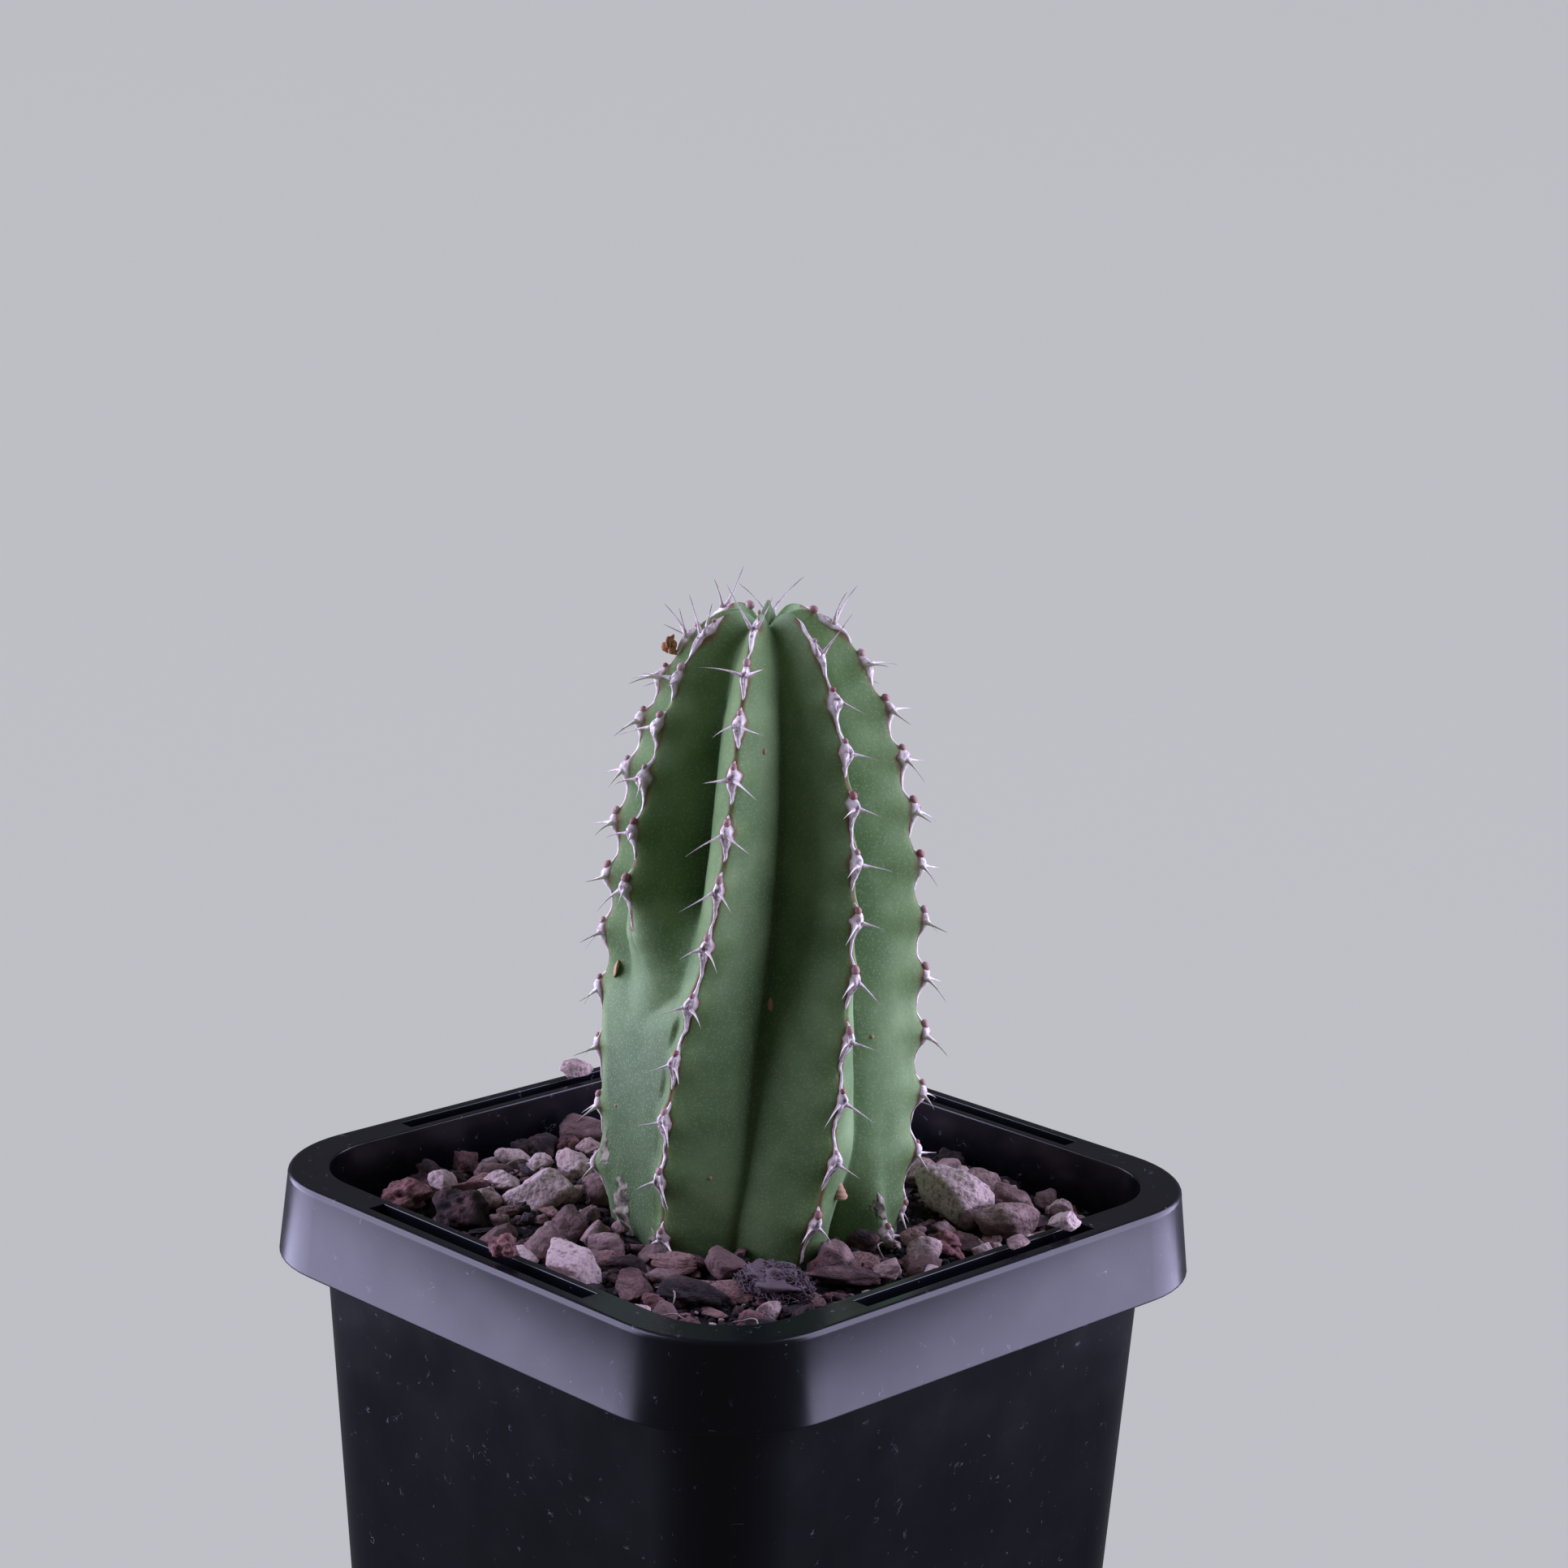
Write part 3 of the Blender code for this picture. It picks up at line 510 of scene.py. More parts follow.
@dataclass(frozen=True)
class Mineral(Finish):
    """Broken stone or dry plant matter: three colours in grains, with a rough, pitted or fibrous surface."""

    light: str
    middle: str
    dark: str
    patch: float  # millimetres across a patch of colour
    grit: float  # millimetres across a grain or pit of the surface
    relief: float  # millimetres deep
    roughness: float
    stretch: tuple[float, float, float] = (1.0, 1.0, 1.0)  # of the pattern, for fibres

    def dress(self, tree: bpy.types.NodeTree, shader: bpy.types.Node) -> None:
        """Adds patches shifted by each grain's own tone, painted shade in the bump's low spots and a gritty
        bump.
        """
        mapped = add_node(tree, "Mapping", {"Vector": self.place(tree), "Scale": self.stretch})
        patch = add_node(tree, "TexNoise", {"Vector": mapped, "Scale": per_mm(self.patch), "Detail": 5.0})
        own = add_node(tree, "Math", {0: self.mark(tree, "tone"), 1: 0.8, 2: -0.4},
                       operation="MULTIPLY_ADD")
        mixed = add_node(tree, "Math", {0: patch, 1: own}, operation="ADD")
        ramp = add_node(tree, "ValToRGB", {"Fac": mixed},
                        stops=((0.22, self.dark), (0.8, self.light), (0.5, self.middle)))
        grit = add_node(tree, "TexNoise", {"Vector": mapped, "Scale": per_mm(self.grit), "Detail": 4.0})
        # Painted shade: the colour darkens towards the dark tone where the gritty bump is low, as in pits.
        pits = add_node(tree, "MapRange", {"Value": grit}, levels=(0.33, 0.5, 0.7, 0.0))
        colour = add_node(tree, "Mix", {"Factor": pits, "A": ramp, "B": self.dark}, data_type="RGBA")
        bump = add_node(tree, "Bump", {"Height": grit, "Strength": 0.8, "Distance": self.relief * MM})
        fill(tree, shader, {"Base Color": colour, "Normal": bump, "Roughness": self.roughness})


@dataclass(frozen=True)
class StudioPaper(Finish):
    """Matt pale background paper, plain and smooth."""

    paper: str = "#cfcfd2"

    def dress(self, tree: bpy.types.NodeTree, shader: bpy.types.Node) -> None:
        """Sets the paper's colour and its dull surface."""
        fill(tree, shader, {"Base Color": self.paper, "Roughness": 0.9, "Specular IOR Level": 0.15})


PLASTIC = MouldedPolypropylene("black_moulded_polypropylene")
SKIN = WaxySkin("waxy_green_skin")
HORN = Horn("lilac_horn")
PEAT = Mineral("crumbly_peat", "#33292a", "#1a1415", "#090707", 2.2, 0.5, 0.3, 0.95)
PUMICE = Mineral("washed_pumice", "#c6b0ad", "#a28784", "#68504d", 2.6, 0.5, 0.42, 0.85)
SCORIA = Mineral("red_scoria", "#8a605e", "#5c3c3c", "#241819", 1.8, 0.4, 0.35, 0.95)
BASALT = Mineral("dark_scoria", "#4c4347", "#2b2629", "#110f11", 1.8, 0.4, 0.3, 0.9)
PINE_BARK = Mineral("pine_bark", "#8b6a64", "#583c3a", "#1f1516", 1.6, 0.35, 0.3, 0.85, (1.0, 1.0, 4.0))
ROOT_FIBRE = Mineral("root_fibre", "#8b7488", "#594658", "#1f1722", 0.8, 0.3, 0.2, 0.9)
DRY_FLOWER = Mineral("dry_flower", "#7c5060", "#543440", "#24141c", 0.7, 0.25, 0.15, 0.8)
DRY_STALK = Mineral("dry_stalk", "#d0a988", "#a87850", "#5a3d28", 0.6, 0.2, 0.12, 0.8, (1.0, 1.0, 2.5))
STRAW = Mineral("dry_straw", "#b5a797", "#8c7c6e", "#4b4038", 1.2, 0.2, 0.08, 0.8)
PAPER = StudioPaper("background_paper")


# ---------------------------------------------------------------- pot


@dataclass
class NurseryPot:
    """The square moulded pot: its body, its ledge with four label slots and its hanging collar."""

    width: float = 70.0
    height: float = 80.0
    wall: float = 0.9
    floor: float = 1.2
    setback: float = 3.2  # from the ledge's edge to the body
    taper: float = 0.06  # narrowing of each side per millimetre of depth
    rim_radius: float = 12.6
    foot_radius: float = 6.5
    ledge: float = 1.0
    fillet: float = 0.5
    collar_drop: float = 8.5
    collar_flare: float = 0.85
    collar_wall: float = 0.9
    slot_length: float = 31.0
    slot_lip: float = 1.4
    slot_rounding: float = 0.1  # radius of the slots' lips
    drain_diameter: float = 7.0
    drain_offset: float = 13.0
    corner_steps: int = 14
    edge_steps: int = 5
    drain_sides: int = 40
    sharp: float = 32.0  # degrees
    foot_edge: float = 0.6  # radius of the edge under the pot
    inner_edge: float = 0.3  # chamfer between the wall and the floor, inside
    edge: float = 0.16  # radius of the small edges
    support: float = 0.12  # from an edge's arc to the ring that keeps the flat beside it flat

    def rim_ring(self, inset: float, z: float) -> Array:
        """A ring of the ledge or the collar, inset from the ledge's edge."""
        half, radius = self.width / 2 - inset, self.rim_radius - inset
        return rounded_square(half, radius, z, self.corner_steps, self.support)

    def body_half(self, z: float) -> float:
        """Half of the body's outside width at a height."""
        return self.width / 2 - self.setback - self.taper * (self.height - z)

    def body_ring(self, inset: float, z: float) -> Array:
        """A ring of the body, inset from its outer face."""
        top_radius = self.rim_radius - self.setback
        radius = self.foot_radius + (top_radius - self.foot_radius) * z / self.height
        return rounded_square(self.body_half(z) - inset, radius - inset, z, self.corner_steps, self.support)

    def profile(self) -> list[Array]:
        """Rings from the foot up the body, under the ledge, round the collar, over the rim and down inside.

        Each rounded edge is a quarter circle between two straight runs: inset and height are its centre's,
        less or plus the radius times the cosine and sine of the turn.
        """
        turn = np.linspace(0.0, math.pi / 2, self.edge_steps + 1)
        cos, sin = np.cos(turn), np.sin(turn)
        under, low = self.height - self.ledge, self.height - self.collar_drop
        foot, edge, small = self.foot_edge, self.fillet, self.edge
        rings = [self.body_ring(foot + self.support, 0.0)]
        rings += [self.body_ring(foot - foot * s, foot - foot * c) for c, s in zip(cos, sin)]
        rings += [self.body_ring(0.0, foot + self.support), self.body_ring(0.0, under - self.support)]
        rings += [self.body_ring(0.0, under), self.body_ring(-self.support, under)]
        rings += [self.rim_ring(self.collar_wall + self.support, under)]
        rings += [self.rim_ring(self.collar_wall, under)]
        rings += [self.rim_ring(self.collar_wall - self.support / 9, under - self.support)]
        inner, outer = self.collar_wall - self.collar_flare, -self.collar_flare
        rings += [self.rim_ring(inner + 0.02, low + small + self.support)]
        rings += [self.rim_ring(inner - small + small * c, low + small - small * s) for c, s in zip(cos, sin)]
        rings += [self.rim_ring(outer + small - small * s, low + small - small * c) for c, s in zip(cos, sin)]
        rings += [self.rim_ring(outer + 0.02, low + small + self.support)]
        rings += [self.rim_ring(0.012, self.height - edge - self.support)]
        rings += [self.rim_ring(edge - edge * c, self.height - edge + edge * s) for c, s in zip(cos, sin)]
        rings += [self.rim_ring(edge + self.support, self.height)]
        lip = self.wall - small
        rings += [self.body_ring(lip - self.support, self.height)]
        rings += [self.body_ring(lip + small * s, self.height - small + small * c) for c, s in zip(cos, sin)]
        rings += [self.body_ring(self.wall, self.height - small - self.support)]
        rings += [self.body_ring(self.wall, self.floor + self.inner_edge)]
        rings += [self.body_ring(self.wall + self.inner_edge, self.floor)]
        return rings

    def slot_section(self) -> Array:
        """The slot's outline across, as distances from the middle and heights, with both lips rounded."""
        inner, outer = self.width / 2 - self.setback, self.width / 2 - self.slot_lip
        turn = np.linspace(0.0, math.pi / 2, self.edge_steps + 1)
        arc = self.slot_rounding * np.stack([np.cos(turn) - 1.0, np.sin(turn) - 1.0], axis=-1)
        left = arc + [inner, self.height]
        right = arc * [-1.0, 1.0] + [outer, self.height]
        above = [[left[-1, 0], self.height + 1.0], [right[-1, 0], self.height + 1.0]]
        below = [[outer, self.height - 3.0 * self.ledge], [inner, self.height - 3.0 * self.ledge]]
        return np.concatenate([left, above, right[::-1], below])

    def cutters(self) -> Shell:
        """Bars for the four slots in the ledge and rods for the four drain holes."""
        section = self.slot_section()
        shells = []
        for quarter in range(4):
            out, along = heading(np.array(90.0 * quarter)), heading(np.array(90.0 * quarter + 90.0))
            ring = section[:, :1] * out + section[:, 1:] * [0.0, 0.0, 1.0]
            ends = np.array([-0.5, 0.5])[:, None, None] * self.slot_length * along
            shells.append(tubes((ring + ends)[None]))
        turn = np.linspace(0.0, math.tau, self.drain_sides, endpoint=False)
        circle = np.stack([np.cos(turn), np.sin(turn), 0.0 * turn], axis=-1) * self.drain_diameter / 2
        for x in (-self.drain_offset, self.drain_offset):
            for y in (-self.drain_offset, self.drain_offset):
                ends = np.array([[x, y, -1.0], [x, y, 2.0 * self.floor]])[:, None]
                shells.append(tubes((circle + ends)[None]))
        return joined(shells)

    def build(self) -> None:
        """Makes the pot, cuts its slots and drain holes and keeps the cut mesh."""
        pot = piece("moulded_pot", tubes(np.array(self.profile())[None]), PLASTIC,
                    ("nursery_pot",))
        cutter = bpy.data.objects.new("pot_cutters", mesh_of("pot_cutters", self.cutters()))
        bpy.context.scene.collection.objects.link(cutter)
        cut = pot.modifiers.new("openings", "BOOLEAN")
        cut.operation, cut.solver, cut.object = "DIFFERENCE", "EXACT", cutter
        graph = bpy.context.evaluated_depsgraph_get()
        mesh = bpy.data.meshes.new_from_object(pot.evaluated_get(graph))
        pot.modifiers.clear()
        bpy.data.objects.remove(cutter)
        work = bmesh.new()
        work.from_mesh(mesh)
        bmesh.ops.triangulate(work, faces=[face for face in work.faces if len(face.verts) > 4])
        bmesh.ops.dissolve_degenerate(work, dist=1e-6, edges=work.edges)
        work.to_mesh(mesh)
        work.free()
        mesh.shade_smooth()
        mesh.set_sharp_from_angle(angle=math.radians(self.sharp))
        pot.data = mesh


# ---------------------------------------------------------------- stem


@dataclass(frozen=True)
class Rib:
    """One rib. Going up, it drifts from one bearing to another and its shields follow one another."""

    bearing: float  # degrees, midway through its drift
    drift: float  # degrees, half of the drift
    drift_height: float  # where the drift is halfway
    phase: float  # share of a pitch by which its shields are shifted
    start: float | None = None  # where it begins; None is below the mix
    girth: float = 1.0  # its crest radius as a share of the stem's
    foot_swing: float = 0.0  # degrees by which its foot swings aside


RIBS = (
    Rib(-134.6, 0.0, 26.0, 0.90, girth=0.945),
    Rib(-99.6, 0.0, 26.0, 0.70, 27.0),
    Rib(-67.6, 12.0, 26.5, 0.42),
    Rib(-11.6, 5.0, 25.5, 0.00, foot_swing=-9.0),
    Rib(40.4, 0.0, 26.0, 0.50),
    Rib(87.5, 3.0, 26.0, 0.20),
    Rib(134.5, 0.0, 26.0, 0.65),
    Rib(179.8, 2.0, 26.0, 0.35),
)
SHORT_RIB = Rib(20.0, 0.0, 26.0, 0.62)  # only a swelling by the foot
SHORT_RIB_TOP = 5.5  # height where its strip ends


@dataclass(frozen=True)
class Swelling:
    """A local rise or hollow of the skin: a bell curve over bearing and height."""

    bearing: float
    height: float
    degrees: float
    tall: float
    rise: float  # millimetres; a hollow's is below 0

    def lift(self, bearing: Array, height: Array) -> Array:
        """How far it lifts the skin."""
        turn = wrapped(bearing - self.bearing) / self.degrees
        return self.rise * np.exp(-(turn**2) - ((height - self.height) / self.tall) ** 2)


SWELLINGS = (
    Swelling(-82.0, 41.0, 9.0, 12.0, -1.5),  # the deep hollow beside the third rib
    Swelling(3.0, 2.0, 8.5, 4.0, -3.8),  # the dent under the fourth rib
    Swelling(20.0, -0.5, 5.0, 5.5, 2.6),  # a short rib by the foot
    Swelling(-131.0, 6.0, 7.0, 2.4, 0.8),  # the corky bulge on the first rib
    Swelling(-118.0, 2.5, 8.0, 3.5, 0.7),
)
CORKY = (  # corky patches: bearing, height, degrees and millimetres across, and strength
    (-115.0, 3.2, 6.5, 3.6, 0.95),
    (-128.5, 8.0, 5.0, 2.6, 0.75),
    (-86.0, -0.5, 5.0, 4.2, 0.95),
    (-40.0, 0.0, 8.0, 1.6, 0.45),
    (20.0, 4.0, 4.5, 1.6, 0.8),
    (95.0, 2.0, 10.0, 3.0, 0.6),
    (165.0, 3.0, 9.0, 2.5, 0.6),
)


@dataclass
class Stem:
    """The ribbed green stem. Heights count from the potting mix's surface."""

    x: float = 1.3
    y: float = 1.3
    ground: float = 75.0
    height: float = 62.5
    radius: float = 16.5
    buried: float = 7.5
    widest: float = 19.0
    rise: float = 2.4
    fall: float = 2.6
    foot_slimming: float = 0.2
    foot_span: float = 30.0
    crest_half_angle: float = 24.0
    foot_half_angle: float = 45.0
    birth_half_angle: float = 65.0
    birth_share: float = 0.82
    fade: float = 9.0
    tooth_depth: float = 0.95
    tooth_spread: float = 7.0  # degrees from a crest over which its teeth fade
    tooth_rest: float = 0.03  # share of the teeth that shows all over the flanks
    mean_drop: float = 0.55  # share of the teeth's depth by which the flanks lie lower
    groove_sag: float = 5.5  # how far grooves sink at the apex, against their depth as a share
    dimple: float = 2.3  # depth of the apex itself
    softness: float = 0.13  # millimetres over which two ribs' flanks blend
    pitch: float = 3.22
    growth: float = 1.2  # power by which the pitch grows downwards
    drift_span: float = 13.0  # millimetres over which a rib drifts
    blunt: float = 2.0  # degrees over which a crest is rounded
    birth_blunt: float = 16.0  # the same, added where a rib begins
    swelling: float = 0.075  # of the flanks, as a share of their radius
    swelling_span: float = 34.0  # degrees from the crest to where the swelling ends
    flank_span: tuple[float, float] = (30.0, 80.0)  # degrees from a crest between which its outline sinks
    flank_sink: float = 0.6  # by this share
    taper_span: tuple[float, float] = (-2.0, 38.0)  # heights between which the flanks grow steeper
    tooth_foot: tuple[float, float] = (1.0, 5.0)  # heights between which the teeth grow in
    tooth_power: float = 1.5  # above 1 makes teeth narrower than the valleys between them
    swing_top: float = 13.0  # where a foot's swing begins
    crease: float = 4.5  # degrees from the broad face's end to the third rib's crest
    broad_share: float = 0.925  # the broad face's radius against the profile
    broad_flat: float = 0.085  # how much less it is halfway across, so that the face is nearly flat
    broad_top: tuple[float, float] = (24.0, 33.0)  # heights between which the broad face ends
    broad_arch: float = 2.5  # how much lower it ends halfway across
    broad_sink: float = 0.4  # share by which it lies deeper above that
    young_span: tuple[float, float] = (9.0, 1.0)  # depths between which the ribs blend more softly
    sag_span: tuple[float, float] = (13.0, 1.0)  # depths between which the grooves begin to sink
    dimple_radius: float = 2.0
    dome: float = 9.0  # the part of the height whose rings close up
    samples: int = 48  # round each rib
    rings: int = 240
    crowding: float = 0.05  # how far samples crowd towards crests, as a share of a rib

    def crest_bearing(self, rib: Rib, height: Array) -> Array:
        """The crest's bearing: its mean, plus its drift times the hyperbolic tangent of the height."""
        swing = rib.foot_swing * smoothstep(self.swing_top, 0.0, height)
        return rib.bearing + rib.drift * np.tanh((height - rib.drift_height) / self.drift_span) + swing

    def profile(self, height: Array) -> Array:
        """The crest's radius without teeth: a superellipse dome over a slightly slimmer foot."""
        low = 1.0 - self.foot_slimming * (np.maximum(self.widest - height, 0.0) / self.foot_span) ** 2
        share = np.clip((height - self.widest) / (self.height - self.widest), 0.0, 1.0)
        return self.radius * low * (1.0 - share**self.rise) ** (1.0 / self.fall)

    def count(self, rib: Rib, height: Array) -> Array:
        """How many shields lie above a height: the depth in pitches to the power 1/growth, less the phase."""
        return (np.maximum(self.height - height, 0.0) / self.pitch) ** (1.0 / self.growth) - rib.phase

    def shield_height(self, rib: Rib, number: Array) -> Array:
        """The height of each numbered shield, from the same formula turned round."""
        return self.height - self.pitch * (number + rib.phase) ** self.growth

    def tooth(self, rib: Rib, height: Array) -> Array:
        """1 at each shield and 0 halfway between, a raised cosine that fades at the apex and the foot."""
        wave = (0.5 + 0.5 * np.cos(math.tau * self.count(rib, height))) ** self.tooth_power
        return wave * smoothstep(0.0, self.fade, self.height - height) * smoothstep(*self.tooth_foot, height)

    def strength(self, rib: Rib, height: Array) -> Array:
        """1 where the rib stands out in full, 0 below the height where it begins."""
        if rib.start is None:
            return np.ones_like(height)
        return smoothstep(rib.start, rib.start + self.fade, height)

    def lobe(self, rib: Rib, bearing: Array, height: Array) -> Array:
        """One rib's outline: a wedge whose edge is the crest, with gently swollen flanks.

        By the sine rule the wedge's radius is the crest's, times the sine of its half angle, over the sine
        of that angle plus the turn from the crest. Teeth only shape the part next to the crest.
        """
        strength = self.strength(rib, height)
        taper = smoothstep(*self.taper_span, height)
        half = self.foot_half_angle + (self.crest_half_angle - self.foot_half_angle) * taper
        half = self.birth_half_angle + (half - self.birth_half_angle) * strength
        away = np.abs(wrapped(bearing - self.crest_bearing(rib, height)))
        blunt = self.blunt + self.birth_blunt * (1.0 - strength)
        rounded = np.hypot(away, blunt) - blunt
        crest = rib.girth * self.profile(height) * (self.birth_share + (1.0 - self.birth_share) * strength)
        near = self.tooth_rest + (1.0 - self.tooth_rest) * np.exp(-((away / self.tooth_spread) ** 2))
        valley = (1.0 - self.tooth(rib, height)) * near + self.mean_drop * (1.0 - near)
        drop = self.tooth_depth * strength * valley
        crest = np.maximum(crest - drop * smoothstep(0.0, self.fade, self.height - height), 0.0)
        wedge = np.sin(np.radians(half)) / np.sin(np.radians(np.minimum(half + rounded, 90.0)))
        bow = np.sin(math.pi * np.minimum(away / self.swelling_span, 1.0))
        swelling = 1.0 + self.swelling * strength * bow
        return crest * wedge * swelling * (1.0 - self.flank_sink * smoothstep(*self.flank_span, away))

    def broad_face(self, bearing: Array, height: Array) -> Array:
        """The broad face below the second rib's start, from the first rib to a crease beside the third.

        Between the two, the radius is a share of the profile less half a sine, which is nearly a flat face.
        """
        left = self.crest_bearing(RIBS[0], height)
        right = self.crest_bearing(RIBS[2], height) - self.crease
        across = wrapped(bearing - left) / wrapped(right - left)
        bounds = smoothstep(-0.14, 0.02, across) * smoothstep(1.1, 0.97, across)
        bow = np.sin(math.pi * np.clip(across, 0.0, 1.0))
        share = self.broad_share - self.broad_flat * bow
        top = 1.0 - self.broad_sink * smoothstep(*self.broad_top, height + self.broad_arch * bow)
        return self.profile(height) * share * (0.5 + 0.5 * bounds) * top

    def reach(self, bearing: Array, height: Array) -> Array:
        """The skin's distance from the stem's axis: a soft maximum of the ribs' outlines."""
        lobes = [self.lobe(rib, bearing, height) for rib in RIBS]
        lobes = np.stack(lobes + [self.broad_face(bearing, height)])
        highest = lobes.max(axis=0)
        young = smoothstep(*self.young_span, self.height - height)
        soft = np.minimum(self.softness * (1.0 + 3.0 * young), (0.04 + 0.08 * young) * highest + 1e-6)
        reach = highest + soft * np.log(np.exp((lobes - highest) / soft).sum(axis=0))
        return reach + sum(swelling.lift(bearing, height) for swelling in SWELLINGS)

    def point(self, bearing: Array, height: Array, lift: Array | float = 0.0) -> Array:
        """The place on the skin at a bearing and height, lifted along the bearing."""
        reach = self.reach(bearing, height)
        top = smoothstep(*self.sag_span, self.height - height)
        groove = np.clip(1.0 - (reach + 0.6) / (self.profile(height) + 0.6), 0.0, 1.0)
        pit = self.dimple * np.exp(-((reach / self.dimple_radius) ** 2))
        sag = np.hypot(self.groove_sag * groove, pit) * top
        level = heading(bearing) * (reach + lift)[..., None]
        return level + np.stack([np.full_like(height, self.x), np.full_like(height, self.y),
                                 self.ground + height - sag], axis=-1)

    def frames(self, bearing: Array, height: Array) -> tuple[Array, Array, Array, Array]:
        """Points on the skin with outward, sideways and upward unit vectors."""
        here = self.point(bearing, height)
        along = unit(self.point(bearing, height + 0.4) - self.point(bearing, height - 0.4))
        across = np.cross([0.0, 0.0, 1.0], heading(bearing))
        side = unit(across - along * (across * along).sum(axis=-1, keepdims=True))
        return here, np.cross(side, along), side, along

    def grid(self) -> tuple[Array, Array, Array]:
        """Bearings, heights and shares of the way from each crest to the next, shaped (rings, round)."""
        straight = np.linspace(-self.buried, self.height - self.dome, self.rings * 3 // 4)
        turn = np.linspace(0.0, math.pi / 2, self.rings // 4 + 2)[1:-1]
        dome = self.height - self.dome + self.dome * np.sin(turn)
        height = np.concatenate([straight, dome])[:, None]
        crests = np.concatenate([self.crest_bearing(rib, height) for rib in RIBS], axis=1)
        crests = np.concatenate([crests, crests[:, :1] + 360.0], axis=1)
        even = np.arange(self.samples) / self.samples
        share = even - self.crowding * np.sin(2.0 * math.tau * even)
        gaps = np.diff(crests, axis=1)[:, :, None]
        bearing = (crests[:, :-1, None] + gaps * share).reshape(len(height), -1)
        shares = np.broadcast_to(np.tile(share, len(RIBS)), bearing.shape)
        return bearing, np.broadcast_to(height, bearing.shape), shares

    def build(self) -> None:
        """Makes the skin, with marks for its grooves, its margins' edges, its corky foot and painted shade
        low down.
        """
        bearing, height, share = self.grid()
        points = self.point(bearing, height)
        groove = np.clip((self.profile(height) - self.reach(bearing, height)) / (0.5 * self.radius), 0.0, 1.0)
        edge = np.full(bearing.shape, 9.0)
        for rib in RIBS:
            off = np.abs(wrapped(bearing - self.crest_bearing(rib, height)))
            off = np.radians(off) * self.reach(bearing, height) - Margin(rib, self).half_width(height)
            edge = np.where(Margin(rib, self).covers(height), np.minimum(edge, np.maximum(off, 0.0)), edge)
        cork = 0.55 * smoothstep(2.2, -0.5, height)
        for bearing_0, height_0, degrees, tall, amount in CORKY:
            turn = wrapped(bearing - bearing_0) / degrees
            cork = cork + amount * np.exp(-(turn**2) - ((height - height_0) / tall) ** 2)
        rough = 0.05 * lumps(points, 4.0, 5, 2) + 0.25 * smoothstep(0.3, 0.7, cork) * lumps(points, 1.6, 6, 3)
        points = points + heading(bearing) * rough[..., None]
        # The low mark is painted shade: darker toward the foot and over the lower broad face.
        left, right = self.crest_bearing(RIBS[0], height), self.crest_bearing(RIBS[2], height)
        broad = smoothstep(left + 1.0, left + 9.0, bearing) * smoothstep(right - 0.5, right - 4.0, bearing)
        low = np.maximum(0.45 * smoothstep(16.0, 0.0, height), 0.85 * broad * smoothstep(36.0, 14.0, height))
        marks = {"groove": groove, "margin_mm": edge, "cork": cork, "low": low}
        shell = tubes(points[None], {name: mark[None] for name, mark in marks.items()})
        piece("stem_skin", shell, SKIN, ("euphorbia_stem",))


